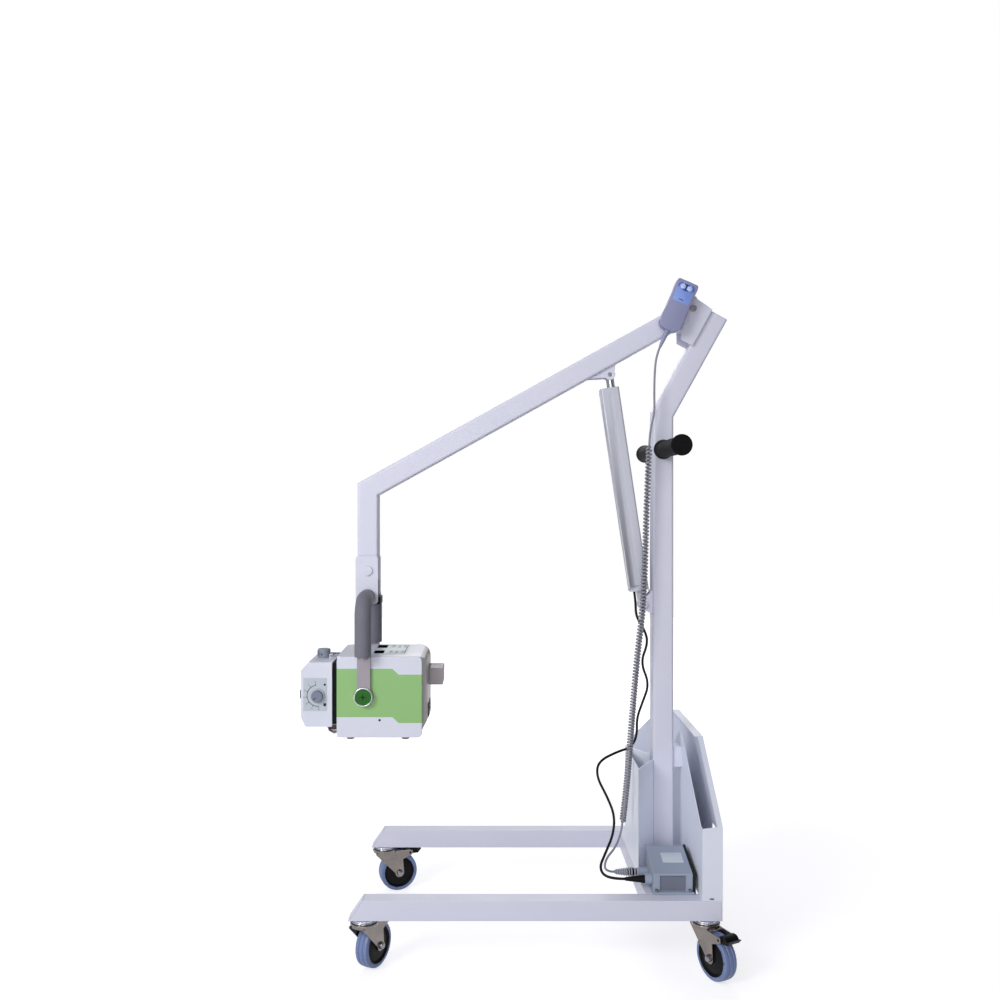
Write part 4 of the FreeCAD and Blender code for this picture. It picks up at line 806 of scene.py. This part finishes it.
@dataclass
class Cords:
    """The handset's lead, curly cord and tail, and the actuator's cable."""

    lead_mm: float = 2.5
    curl_outer_mm: float = 8.5
    curl_wire_mm: float = 2.7
    cable_mm: float = 3.0
    turns: int = 118
    per_turn: int = 12
    fade_steps: int = 8
    stretch: float = 0.05
    slimmest: float = 0.88
    relief_end: Point = (-12.87, -53.0, 1413.71)
    lead_route: tuple[Point, ...] = (
        (-21.64, -53, 1393.53), (-26, -53, 1352), (-27, -53, 1300), (-26, -53, 1256), (-37.3, -53, 1211.96),
        (-38.98, -53, 1176.4))
    curl_route: tuple[Point, ...] = (
        (-39, -53, 1176), (-44, -53, 1070), (-47, -53, 970), (-50, -53, 869), (-56, -53, 769), (-65, -53, 699),
        (-73, -53, 616), (-80, -53, 530), (-86, -53, 450), (-93, -53, 360), (-103, -53, 275))
    tail_route: tuple[Point, ...] = (
        (-103.05, -53, 274.6), (-105.8, -53, 251.16), (-124, -89, 228), (-152, -117.5, 210), (-155, -124.5, 184),
        (-131, -124.5, 184))
    cable_start: Point = (-68.26, -8.0, 823.78)
    cable_route: tuple[Point, ...] = (
        (-64.57, -8, 798.86), (-64, -8, 762), (-43, -8, 730), (-34, -8, 698), (-53, -8, 650), (-31, -8, 598),
        (-48, -8, 552), (-62, -8, 514), (-61, -8, 472), (-76, -14, 444), (-112, -30, 438), (-160, -46, 419),
        (-166, -58, 386), (-142, -72, 342), (-126, -88, 302), (-132, -104, 262), (-152, -124, 228),
        (-172, -162, 206), (-155, -182, 190), (-115, -182, 190))

    def build(self) -> None:
        grey, black = Finishes.jacket_grey, Finishes.jacket_black
        lead, cable = (self.relief_end, *self.lead_route), (self.cable_start, *self.cable_route)
        for name, route, radius, finish, nodes, stiffness in (
                ("handset_lead_cord", lead, self.lead_mm, grey, ["handset_lead"], "limp"),
                ("tail_lead_cord", self.tail_route, self.lead_mm, grey, ["tail_cord"], "limp"),
                ("actuator_lead_cord", cable, self.cable_mm, black, ["actuator_cable"], "medium")):
            self._declare(name, [at(*p) for p in route], radius, finish, nodes)
        self._curl()

    def _declare(self, name: str, points: list[Vector], radius: float, finish: Finish, nodes: list[str]) -> None:
        """Make one plain cord.

        Args:
            name: the piece's name.
            points: its control points.
            radius: its radius in millimetres.
            finish: its jacket.
            nodes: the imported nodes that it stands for.
        """
        piece = spline_tube(name, points, radius, finish)
        line = route_of(piece)
        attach(piece, "stand")
        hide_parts(*nodes)

    def _curl(self) -> None:
        """Wind the curly cord as one long spline about its smooth route."""
        guide = spline_tube("curl_guide", [at(*p) for p in self.curl_route], 1.0, Finishes.jacket_curl, 24)
        line = route_of(guide)
        bpy.data.objects.remove(guide)
        spans = [0.0]
        for a, b in zip(line, line[1:]):
            spans.append(spans[-1] + (b - a).length)
        whole = spans[-1]
        points: list[Vector] = [line[0]]
        steps = self.turns * self.per_turn
        index = 0
        for step in range(1, steps):
            share = step / steps
            # The upper half hangs stretched, so its turns are further apart and slimmer
            place = min(whole * (share + self.stretch * math.sin(math.pi * share)), whole - 1e-5)
            while spans[index + 1] < place:
                index += 1
            t = (place - spans[index]) / (spans[index + 1] - spans[index])
            centre = line[index].lerp(line[index + 1], t)
            along = (line[index + 1] - line[index]).normalized()
            across = along.cross(Y_WAY).normalized()
            slim = self.slimmest + (1 - self.slimmest) * min(1.0, max(0.0, (place / whole - 0.15) / 0.3))
            fade = min(1.0, step / self.fade_steps, (steps - step) / self.fade_steps)
            reach = (self.curl_outer_mm - self.curl_wire_mm) / 1000 * slim * fade
            angle = math.tau * step / self.per_turn
            points.append(centre + Y_WAY * (math.cos(angle) * reach) + across * (math.sin(angle) * reach))
        points.append(line[-1])
        piece = spline_tube("curly_cord_coil", points, self.curl_wire_mm, Finishes.jacket_curl, 2)
        piece.data.bevel_resolution = 2
        wound = route_of(piece)
        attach(piece, "stand")
        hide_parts("curly_cord")


@dataclass
class Castor:
    """One swivel castor with a brake pedal."""

    name: str
    x: float
    y: float
    turn: float
    wheel_z: float = 50.0
    trail: float = 35.0
    hub_radius: float = 40.0
    half_width: float = 16.0
    fork_outer: float = 21.0
    hub_depth: float = 3.6
    screw_ring: float = 25.0
    nut_stand: float = 2.4

    def point(self, forward: float, side: float, up: float) -> Vector:
        """Give a point from its place in the castor's own turned directions, in millimetres."""
        a = math.radians(self.turn)
        return at(self.x + forward * math.cos(a) - side * math.sin(a),
                  self.y + forward * math.sin(a) + side * math.cos(a), up)

    def axle(self) -> Vector:
        """Give the axle's direction."""
        a = math.radians(self.turn)
        return Vector((-math.sin(a), math.cos(a), 0))

    def build(self) -> None:
        """Dress the fork, the wheel and the pedal, and add the screws and nuts."""
        # The fork's brown zinc tint is a painted reflection
        dressed_copy(self.name + "_fork", self.name + "_castor", Finishes.zinc, 0.5)
        axle = self.axle()
        centre = (self.point(self.trail, 0, self.wheel_z) - Vector((COLUMN_X, 0, 0))) * 1000

        def in_hub(corners: Sequence[Vector], normal: Vector) -> bool:
            """Tell whether a face has no corner outside the hub."""
            spots = [corner - centre for corner in corners]
            return all((spot - axle * spot.dot(axle)).length < self.hub_radius + 0.2 for spot in spots)

        # The tyre's blue tint is painted light on grey rubber
        dressed_copy(self.name + "_wheel", self.name + "_roller", Finishes.tyre, 0.6,
                     extra=[(Finishes.nylon_black, in_hub)])
        dressed_copy(self.name + "_pedal", self.name + "_brake", Finishes.nylon_black, 0.8)
        for side in (-1, 1):
            out = axle * side
            screw = lathe([(0, 0), (0, 2.0), (0.7, 2.0), (1.2, 1.2), (1.2, 0)], Vector((0, 0, 0)), Z_WAY, 16)
            hub = self.point(self.trail, side * (self.half_width - self.hub_depth), self.wheel_z)
            ring = repeat(f"{self.name}_hub_screws_{side + 1}", screw, 5, None, self.screw_ring, Finishes.nickel,
                          facing(hub, out))
            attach(ring, self.name + "_roller")
            nut = lathe([(-0.5, 0), (-0.5, 7.5), (1.2, 7.6), (3.6, 6.6), (4.8, 4.0), (5.2, 0)],
                        self.point(self.trail, side * (self.fork_outer + self.nut_stand), self.wheel_z), out, 24)
            detail(f"{self.name}_axle_cap_{side + 1}", self.name + "_castor", (nut, Finishes.nickel))


CASTORS = (Castor("near_front", -700.0, -225.0, 61.0), Castor("far_front", -700.0, 225.0, 20.0),
           Castor("near_rear", 58.0, -225.0, -62.0), Castor("far_rear", 58.0, 225.0, 62.0))


@dataclass
class Stand:
    """The base frame, the column, the push bar and the detector pocket."""

    drain_y: float = -245.05

    def build(self) -> None:
        """Dress the frame and its fittings."""
        white = Finishes.powder_white
        dress("stand", ("near_leg", white, 1.6), ("far_leg", white, 1.6), ("cross_beam", white, 1.2),
              # The foot shroud takes the lighter coat: painted light
              ("tube_caps", white, 0.6), ("column_tube", white, 0.0), ("foot_shroud", Finishes.powder_shroud, 0.6),
              ("detector_pocket", Finishes.powder_sheet, 0.5), ("pocket_spacer", white, 0.6),
              ("stand_screws", Finishes.nickel, 0.4), ("pivot_cheeks", white, 0.7),
              ("pivot_bolt", Finishes.nickel, 2.5), ("actuator_bracket", white, 0.6), ("push_bar", white, 0.0),
              ("push_grips", Finishes.foam_black, 0.8), ("castor_mounts", Finishes.zinc_bright, 0.5))
        self._pocket_mark()

    def _pocket_mark(self) -> None:
        """Add the small drain slot at the foot of the pocket's near wall, its inside painted black as shade."""
        slot = slab(rounded_outline(62, 72, 169, 171.5, 1.2), at(0, self.drain_y, 0), X_WAY, Z_WAY, 0.25)
        detail("pocket_drain_slot", "stand", (slot, Finishes.ink_black))


@dataclass
class ControlBox:
    """The actuator's control box on the cross beam with its plugs."""

    floor_z: float = 166.0
    near_y: float = -208.0
    far_y: float = -92.0
    front_x: float = -55.0
    rear_x: float = 33.0
    low_rise: float = 45.0
    high_rise: float = 70.0
    relief_start: float = -131.0
    relief_y: float = -124.5
    relief_z: float = 184.0
    rib_pitch: float = 5.6
    groove_from: float = 0.46
    recess_y: float = -205.0
    screw_inset: float = 6.5
    seal_mm: float = 6.4

    def build(self) -> None:
        """Dress the box and its plugs and add the rating plate, a black strip painted as the box's shadow, and screws.
        """
        # Its recessed near face takes the darker finish: painted shade
        dressed_copy("control_box", "stand", Finishes.box_grey, 1.2, extra=[
            (Finishes.box_recess, lambda c, n: n.y < -0.9 and all(abs(v.y - self.recess_y) < 1.3 for v in c))])
        dressed_copy("control_sockets", "stand", Finishes.box_grey, 0.8)
        dressed_copy("tail_plug", "stand", Finishes.relief_grey, 0.4, extra=[(Finishes.nylon_black, self._in_groove)])
        dressed_copy("actuator_plug", "stand", Finishes.nylon_black, 0.8)
        self._relief()
        slope = Vector((0, self.far_y - self.near_y, self.high_rise - self.low_rise)).normalized()
        start = at(0, self.near_y, self.floor_z + self.low_rise)
        plate = slab(rounded_outline(-26, 22, 44, 84, 2.0), start, X_WAY, slope, 0.5, 0.2)
        detail("box_plate", "stand", (plate, Finishes.overlay))
        low, near, far = self.floor_z, self.near_y - 2, self.far_y
        # A black strip on the box's rear side: painted shadow of the box
        pad = slab([(near, low + 0.3), (far, low + 0.3), (far, low + self.high_rise + 0.4),
                    (near, low + self.low_rise - 0.4)], at(self.rear_x, 0, 0), Y_WAY, Z_WAY, self.seal_mm, 0.8)
        detail("box_side_seal", "stand", (pad, Finishes.seal))
        for x in (self.front_x + self.screw_inset, self.rear_x - self.screw_inset):
            head = lathe([(-0.5, 0), (-0.5, 4.0), (1.6, 4.0), (2.6, 2.8), (2.8, 0)],
                         at(x, self.near_y - 3.0, low + 9.5), Z_WAY, 24)
            # The cross recess is a black film: painted shade
            cross = slab(rounded_outline(x - 2.2, x + 2.2, self.near_y - 3.4, self.near_y - 2.6, 0.3),
                         at(0, 0, low + 12.2), X_WAY, Y_WAY, FILM)
            detail(f"box_screw_{int(x) + 100}", "stand", (head, Finishes.nickel), (cross, Finishes.ink_black))

    def _relief(self) -> None:
        """Stand the strain relief's ribs on its dark core, wider toward the box."""
        start = at(self.relief_start, self.relief_y, self.relief_z)
        shapes = [(lathe([(0, 0), (0, 4.0), (43.5, 9.0), (43.5, 0)], start, X_WAY, 32), Finishes.nylon_black)]
        for rib in range(7):
            radius = 6.4 + 0.8 * rib
            disc = [(0, 0), (0, radius - 0.8), (0.8, radius), (2.4, radius), (3.2, radius - 0.8), (3.2, 0)]
            foot = start + X_WAY * (self.rib_pitch * (rib + 0.6) / 1000)
            shapes.append((lathe(disc, foot, X_WAY, 32), Finishes.relief_grey))
        detail("relief_ribs", "stand", *shapes)

    def _in_groove(self, corners: Sequence[Vector], normal: Vector) -> bool:
        """Tell whether a face of the ribbed relief lies between two ribs."""
        spots = [v.x - self.relief_start for v in corners]
        places = [spot / self.rib_pitch % 1 for spot in spots]
        if all(self.groove_from < place < 0.999 for place in places):
            return True
        middle = sum(v.x for v in corners) / len(corners) - self.relief_start
        narrow = max(spots) - min(spots) < 3.0 and abs(normal.x) < 0.3
        return max(places) > self.groove_from and narrow and middle > 0 and middle / self.rib_pitch % 1 > 0.5


@dataclass
class Handset:
    """The corded handset on its hook."""

    centre: Point = (29.0, -53.0, 1510.0)
    lean: float = 23.5
    half_thick: float = 13.0
    shell_over: float = 0.8
    membrane: float = 0.5
    button_rise: float = 46.0
    button_apart: float = 8.5

    def frame(self) -> tuple[Vector, Vector, Vector]:
        """Give the middle of the handset's near face and its own right and up directions."""
        a = math.radians(self.lean)
        right, up = Vector((math.cos(a), 0, -math.sin(a))), Vector((math.sin(a), 0, math.cos(a)))
        return at(*self.centre) + Vector((0, -self.half_thick / 1000, 0)), right, up

    def _outline(self) -> Outline:
        """List the shell's waisted outline, counter-clockwise from its foot."""
        half = [(6.5, -63), (15, -62), (22, -57), (26, -49), (27.4, -38), (27.2, -26), (26.0, -12), (25.2, 4),
                (25.6, 22), (26.6, 40), (27.2, 52), (26.4, 57), (23.5, 59.6), (12, 61.8), (0, 62.6)]
        return half + [(-x, z) for x, z in half[-2::-1]]

    def build(self) -> None:
        """Dress the body and buttons and lay the printed membrane on its face."""
        dressed_copy("handset_body", "stand", Finishes.handset, 1.5)
        face_at, right, up = self.frame()
        origin = face_at - Y_WAY * (self.shell_over / 1000)
        back = face_at + Vector((0, (self.half_thick * 2 + 0.6) / 1000, 0))
        shell = slab(self._outline(), back, right, up, self.half_thick * 2 + 1.4, 3.4, 4)
        detail("handset_shell", "stand", (shell, Finishes.handset))
        face = slab([(-20.5, 8), (20.5, 8), (21.5, 50), (18, 55), (0, 56.5), (-18, 55), (-21.5, 50)], origin, right,
                    up, self.membrane, 0.2)
        lift = origin - Y_WAY * (self.membrane / 1000)
        outlines = [rounded_outline(-1.5, 1.5, 38, 53, 0.8)]
        for side, start, end in ((-1, 110, 205), (1, -25, 70)):
            for low in (51.0, 37.5):
                outlines.append(rounded_outline(side * 3.4 - 3.2, side * 3.4 + 3.2, low, low + 2.8, 0.9))
            outlines.append(arc_strip(side * 9.5, 45.5, 9.4, 1.7, start, end, 12))
        outlines.append(rounded_outline(-5.5, 5.5, 14.0, 15.8, 0.6))
        marks = [(slab(outline, lift, right, up, FILM), Finishes.ink_blue) for outline in outlines]
        detail("handset_membrane", "stand", (face, Finishes.membrane_blue), *marks)
        for node, side in (("up_button", -1), ("down_button", 1)):
            middle = origin + right * (side * self.button_apart / 1000) + up * (self.button_rise / 1000)
            # Its foot stays clear of the membrane when the button is pressed right in
            dome = lathe([(2.3, 0), (2.3, 6.0), (2.7, 6.0), (3.1, 5.3), (3.5, 3.8), (3.75, 2.0), (3.8, 0)], middle,
                         -Y_WAY, 40)
            detail(node + "_dome", node, (dome, Finishes.button_pale))
            dressed_copy(node, node, Finishes.button_pale, 0.8)


@dataclass
class LiftArm:
    """The bent lift arm with its gusset and actuator."""

    def build(self) -> None:
        """Dress the arm and the actuator."""
        dress("arm", ("arm_tube", Finishes.powder_white, 0.0), ("arm_gusset", Finishes.powder_white, 0.5))
        dressed_copy("actuator_housing", "actuator_tube", Finishes.extrusion, 0.8)
        dressed_copy("actuator_rod", "actuator_shaft", Finishes.chrome, 0.4)


@dataclass
class Hanger:
    """The hanger plates and the carrying handle."""

    collar_y: float = 103.0

    def build(self) -> None:
        """Dress the plates, the handle, its sleeves and its clamp."""
        dress("hanger", ("hanger_plates", Finishes.powder_white, 0.5), ("saddle_clamp", Finishes.nylon_black, 0.6),
              ("handle_frame", Finishes.strap_steel, 0.6), ("handle_grips", Finishes.sleeve_grey, 1.5))
        profile = [(0, 19.0), (0, 21.6), (0.8, 22.2), (7.0, 22.2), (8.2, 21.6), (8.6, 20.4), (8.0, 19.0), (0, 19.0)]
        for side, label in SIDES:
            ring = lathe(profile, at(HUB_X, side * self.collar_y, HUB_Z), Vector((0, side, 0)), 64)
            detail("hub_collar_" + label, "hanger", (ring, Finishes.ring_bright))


@dataclass
class XrayHead:
    """The x-ray head with its printed covers, control panel and collimator."""

    half: float = 97.0
    top_rise: float = 92.7
    front: float = 64.4
    rear_from: float = -640.0
    col_front: float = -870.0
    col_half: float = 76.0
    col_high: float = 76.0
    cap_y: float = 112.3
    panel_step: float = 0.3
    lever_wide: float = 28.0
    pad_wide: float = 22.0
    seal_half: float = 73.5
    seal_depth: float = 12.6
    fold_pitch: float = 3.1
    dial_behind: float = 41.0
    dial_below: float = 3.0
    overlay_out: float = 1.0
    dial_points_to: float = 225.0
    lamp_behind: float = 43.0

    def build(self) -> None:
        """Dress the housing and the collimator and add what is printed or fixed on them."""
        edge = self.half - 6.2
        # Faces turned to the rear take the darker, warmer rear finish: painted shade
        dressed_copy("unit_shell", "head", Finishes.cover_white, 1.0, 50.0,
                     [(Finishes.cover_rear, lambda c, n: n.x > 0.35 and all(v.x > self.rear_from for v in c)),
                      (Finishes.cover_printed, lambda c, n: all(abs(v.y) > edge for v in c))])
        dress("head", ("unit_rear", Finishes.block_grey, 1.5), ("mains_inlet", Finishes.nylon_black, 0.5),
              ("unit_feet", Finishes.foot, 0.8), ("hub_caps", Finishes.cap_green, 0.8),
              ("collimator_seal", Finishes.seal, 0.6), ("front_window", Finishes.window, 0.2))
        dressed_copy("collimator_body", "head", Finishes.cover_white, 4.0, 50.0,
                     [(Finishes.overlay_grey, lambda c, n: all(v.y < -self.col_half - 0.9 for v in c))])
        dressed_copy("rocker_switch", "rocker", Finishes.cap_green, 0.5)
        dressed_copy("latch_top", "upper_latch", Finishes.nickel, 0.3)
        dressed_copy("latch_bottom", "lower_latch", Finishes.nickel, 0.3)
        self._latch_lever()
        self._panel()
        self._caps()
        self._seal_ribs()
        self._dial()
        self._top_knob()

    def _latch_lever(self) -> None:
        """Bend the lower latch's finger plate round its wire, with a dark pad inside as painted shade of its hollow.
        """
        foot = HUB_Z - self.col_high
        bow = [(-812, -7.5), (-817, -15), (-813, -26), (-800, -33), (-787, -29), (-781, -17), (-783, -3)]
        back = [(-785.6, -4.5), (-783.9, -17), (-788.7, -26.6), (-800, -30.2), (-811, -24.2), (-814.3, -15.4),
                (-809.6, -8)]
        plate = slab([(x, foot + z) for x, z in bow + back], at(0, self.lever_wide / 2, 0), X_WAY, Z_WAY,
                     self.lever_wide, 0.5)
        # The dark pad fills the bow's hollow as painted shade
        pad = slab([(-811, foot - 22), (-790, foot - 24), (-788, foot - 12), (-813, foot - 12)],
                   at(0, self.pad_wide / 2, 0), X_WAY, Z_WAY, self.pad_wide, 0.8)
        detail("lower_latch_lever", "lower_latch", (plate, Finishes.nickel), (pad, Finishes.foot_dark))

    def _panel(self) -> None:
        """Lay the control panel on the top, with two dark displays and rows of bare keys."""
        top = HUB_Z + self.top_rise
        film = slab(rounded_outline(-705, -621, -60, 90, 4), at(0, 0, top - 0.05), X_WAY, Y_WAY, 0.45, 0.15)
        shapes = [(film, Finishes.overlay)]
        face = at(0, 0, top + self.panel_step)
        for y0, y1 in ((-50, -10), (34, 76)):
            glass = slab(rounded_outline(-700, -676, y0, y1, 1.5), face, X_WAY, Y_WAY, 0.5, 0.15)
            shapes.append((glass, Finishes.display))
            for column in range(3):
                for row in range(2):
                    x, y = -664 + column * 14, y0 + 6 + row * 20
                    key = slab(rounded_outline(x, x + 9, y, y + 12, 2.5), face, X_WAY, Y_WAY, 0.5, 0.2)
                    shapes.append((key, (Finishes.ink_green, Finishes.ink_grey)[(row + column) % 2]))
        line = slab(rounded_outline(-626.4, -624.4, -52, 84, 0.5), face, X_WAY, Y_WAY, 0.2)
        detail("control_panel", "head", *shapes, (line, Finishes.ink_black))
        # A black disc stands for a screw hole in the near cover: painted shade
        hole = lathe([(0, 0), (0, 3.0), (0.5, 2.8), (0.5, 0)], at(-680, -self.half + 0.3, 529.4), -Y_WAY, 24)
        detail("cover_plug", "head", (hole, Finishes.ink_black))
        port = slab(rounded_outline(-873, -869.5, 574, 594, 1.0), at(0, -52, 0), X_WAY, Z_WAY, 14, 0.6)
        detail("field_light_port", "head", (port, Finishes.nylon_black))

    def _caps(self) -> None:
        """Put the pressed cross and the centre dimple on the green caps, their recess painted dark green as shade."""
        for side, label in SIDES:
            face = at(HUB_X, side * (self.cap_y + 0.1), HUB_Z)
            shapes = [slab(rounded_outline(-x, x, -z, z, 0.5), face, Vector((-side, 0, 0)), Z_WAY, 0.25)
                      for x, z in ((8.5, 0.8), (0.8, 8.5))]
            shapes.append(lathe([(0, 0), (0, 3.6), (0.4, 3.2), (0.4, 0)], at(HUB_X, side * self.cap_y, HUB_Z),
                                Vector((0, side, 0)), 24))
            detail("cap_cross_" + label, "head", *[(shape, Finishes.green_dark) for shape in shapes])

    def _seal_ribs(self) -> None:
        """Stand the seal's folds round it with one repeated plate."""
        half = self.seal_half
        fold = slab(rounded_outline(-half, half, -half, half, 7), Vector((0, 0, 0)), X_WAY, Y_WAY, 1.8, 0.6)
        front = HUB_X - self.front - self.seal_depth
        place = facing(at(front, 0, HUB_Z), X_WAY, Y_WAY)
        folds = repeat("seal_folds", fold, 4, Z_WAY * (self.fold_pitch / 1000), 0.0, Finishes.seal, place)
        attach(folds, "head")

    def _dial(self) -> None:
        """Print the light-field dial and dress its knob."""
        x, z, face = self.col_front + self.dial_behind, HUB_Z - self.dial_below, -self.col_half - self.overlay_out
        first, sweep, steps = 100, 175, 6
        shapes = [slab(arc_strip(x, z, 25.0, 1.4, first, first + sweep), at(0, face, 0), X_WAY, Z_WAY, FILM)]
        for number in range(steps + 1):
            a = math.radians(first + sweep * number / steps)
            outward, round_it = Vector((math.cos(a), 0, math.sin(a))), Vector((-math.sin(a), 0, math.cos(a)))
            shapes.append(slab(rounded_outline(-2.4, 1.8, -0.55, 0.55, 0.3), at(x, face, z) + outward * 0.028, outward,
                               round_it, FILM))
            shapes.append(numeral(str(number), 5.6, facing(at(x, face - 0.08, z) + outward * 0.033, -Y_WAY, X_WAY)))
        shapes.append(lathe([(0, 0), (0, 2.6), (FILM, 2.6), (FILM, 0)], at(x + 17, face, z + 26), -Y_WAY, 16))
        shapes.append(slab(rounded_outline(x + 14, x + 20, z - 25, z - 18, 0.8), at(0, face, 0), X_WAY, Z_WAY, FILM))
        detail("dial_print", "head", *[(shape, Finishes.ink_black) for shape in shapes])
        skirt = lathe([(0.1, 0), (0.1, 16.4), (0.9, 17.2), (3.2, 17.2), (4.4, 16.4), (4.9, 14.6), (4.9, 0)],
                      at(x, face, z), -Y_WAY, 72)
        grip = lathe([(4.8, 0), (4.8, 14.2), (12.6, 13.3), (13.7, 12.8), (14.2, 11.8), (14.0, 10.6), (14.0, 0)],
                     at(x, face, z), -Y_WAY, 72)
        a = math.radians(self.dial_points_to)
        mark = slab(rounded_outline(3.4, 11.2, -0.9, 0.9, 0.4), at(x, face - 13.95, z),
                    Vector((math.cos(a), 0, math.sin(a))), Vector((-math.sin(a), 0, math.cos(a))), 0.25)
        knob = detail("dial_knob_turned", "field_dial", (skirt, Finishes.knob_pale), (grip, Finishes.knob_dark),
                      (mark, Finishes.ink_black))
        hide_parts("dial_knob")

    def _top_knob(self) -> None:
        """Dress the lamp knob and add its grip flutes and dot."""
        x, low = self.col_front + self.lamp_behind, HUB_Z + self.col_high
        dressed_copy("top_knob", "lamp_knob", Finishes.knob_grey, 1.6)
        flute = slab(rounded_outline(-0.5, 0.5, 3.0, 17.0, 0.4), Vector((-0.0002, 0, 0)), Y_WAY,
                     Z_WAY, 0.5, 0.15)
        flutes = repeat("lamp_knob_flutes", flute, 40, None, 15.4, Finishes.knob_grey,
                        facing(at(x, 0, low), Z_WAY, X_WAY))
        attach(flutes, "lamp_knob")
        dot = lathe([(-0.4, 0), (-0.4, 1.6), (0.7, 1.6), (0.7, 0)], at(x - 2.6, -15.3, low + 8.5),
                    Vector((-0.17, -1, 0)), 16)
        detail("lamp_knob_dot", "lamp_knob", (dot, Finishes.ink_black))


@dataclass
class Studio:
    """The floor, lamps, world and camera."""

    camera_mm: Point = (-429.8, -2400.0, 1061.0)
    lens_mm: float = 35.28
    shift: tuple[float, float] = (0.014, -0.006)
    floor_reach: float = 6000.0

    def build(self) -> None:
        """Set the stage, the light and the view."""
        far = self.floor_reach
        floor = slab([(-far, -far), (far, -far), (far, far), (-far, far)], Vector((0, 0, -0.02)), X_WAY, Y_WAY, 20)
        mesh = bpy.data.meshes.new("floor")
        floor.to_mesh(mesh)
        floor.free()
        stage = to_object("studio_floor", mesh, Finishes.floor)
        self._lift_floor(Finishes.floor.material())
        self._lamp("key", (-2.5, -2.9, 2.4), (0.1, 0.0, 0.8), 1.5, 78)
        self._lamp("fill", (-0.5, -3.9, 1.4), (0.0, 0.0, 0.7), 2.2, 40)
        self._lamp("rear", (0.4, 3.2, 2.4), (0.0, 0.0, 0.8), 2.4, 46)
        self._world()
        data = bpy.data.cameras.new("view")
        data.lens = self.lens_mm
        data.sensor_width = 36
        data.shift_x, data.shift_y = self.shift
        data.clip_end = 60
        camera = bpy.data.objects.new("view", data)
        camera.location = at(*self.camera_mm)
        camera.rotation_euler = (math.radians(90), 0, 0)
        bpy.context.scene.collection.objects.link(camera)
        bpy.context.scene.camera = camera
        bpy.context.scene.view_settings.view_transform = "Standard"

    def _lift_floor(self, made: bpy.types.Material) -> None:
        """Let the camera and glossy rays see the floor as near white while it keeps its shadows."""
        tree = made.node_tree
        shader = next(n for n in tree.nodes if n.type == "BSDF_PRINCIPLED")
        out = next(n for n in tree.nodes if n.type == "OUTPUT_MATERIAL")
        path = add(tree, "ShaderNodeLightPath")
        seen = maths(tree, "MAXIMUM", path.outputs["Is Camera Ray"], path.outputs["Is Glossy Ray"])
        place = add(tree, "ShaderNodeTexCoord").outputs["Object"]
        reach = add(tree, "ShaderNodeVectorMath", {0: place}, operation="LENGTH").outputs["Value"]
        level = ranged(tree, reach, (1.2, 2.6), (0.68, 1.0))
        glow = add(tree, "ShaderNodeEmission", {"Color": (1, 1, 1, 1), "Strength": level})
        both = add(tree, "ShaderNodeAddShader", {0: shader.outputs[0], 1: glow.outputs[0]})
        mix = add(tree, "ShaderNodeMixShader", {0: seen, 1: shader.outputs[0], 2: both.outputs[0]})
        tree.links.new(mix.outputs[0], out.inputs["Surface"])

    def _lamp(self, name: str, place: Point, aim: Point, size: float, power: float) -> None:
        """Hang one soft square lamp.

        Args:
            name: the lamp's name.
            place: where it hangs, in metres.
            aim: what it faces.
            size: its side in metres.
            power: its power in watts.
        """
        data = bpy.data.lights.new(name, "AREA")
        data.shape = "SQUARE"
        data.size = size
        data.energy = power
        lamp = bpy.data.objects.new(name, data)
        lamp.location = place
        lamp.rotation_euler = (Vector(aim) - Vector(place)).to_track_quat("-Z", "Y").to_euler()
        bpy.context.scene.collection.objects.link(lamp)

    def _world(self) -> None:
        """Light from all round, stronger from above and from the left, and white where the camera sees it."""
        world = bpy.data.worlds.new("studio")
        world.use_nodes = True
        tree = world.node_tree
        tree.nodes.clear()
        path = add(tree, "ShaderNodeLightPath")
        seen = maths(tree, "MAXIMUM", path.outputs["Is Camera Ray"], path.outputs["Is Transmission Ray"])
        way = add(tree, "ShaderNodeSeparateXYZ", {0: add(tree, "ShaderNodeTexCoord").outputs["Generated"]}).outputs
        rise = ranged(tree, way[2], (-0.1, 1.0), (0.32, 0.5))
        side = ranged(tree, way[0], (-0.6, 0.8), (1.15, 0.4))
        level = maths(tree, "MULTIPLY", rise, side)
        plain = add(tree, "ShaderNodeBackground", {"Color": srgb("#F1F1F7"), "Strength": level})
        white = add(tree, "ShaderNodeBackground", {"Color": (1, 1, 1, 1), "Strength": 1.0})
        mix = add(tree, "ShaderNodeMixShader", {0: seen, 1: plain.outputs[0], 2: white.outputs[0]})
        add(tree, "ShaderNodeOutputWorld", {"Surface": mix.outputs[0]})
        bpy.context.scene.world = world


def main() -> None:
    """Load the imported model, dress it and set the stage."""
    logging.basicConfig(level=logging.INFO, format="%(name)s: %(message)s")
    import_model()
    Cords().build()
    Stand().build()
    for castor in CASTORS:
        castor.build()
    for unit in (ControlBox(), Handset(), LiftArm(), Hanger(), XrayHead()):
        unit.build()
    Studio().build()


if __name__ == "__main__":
    main()
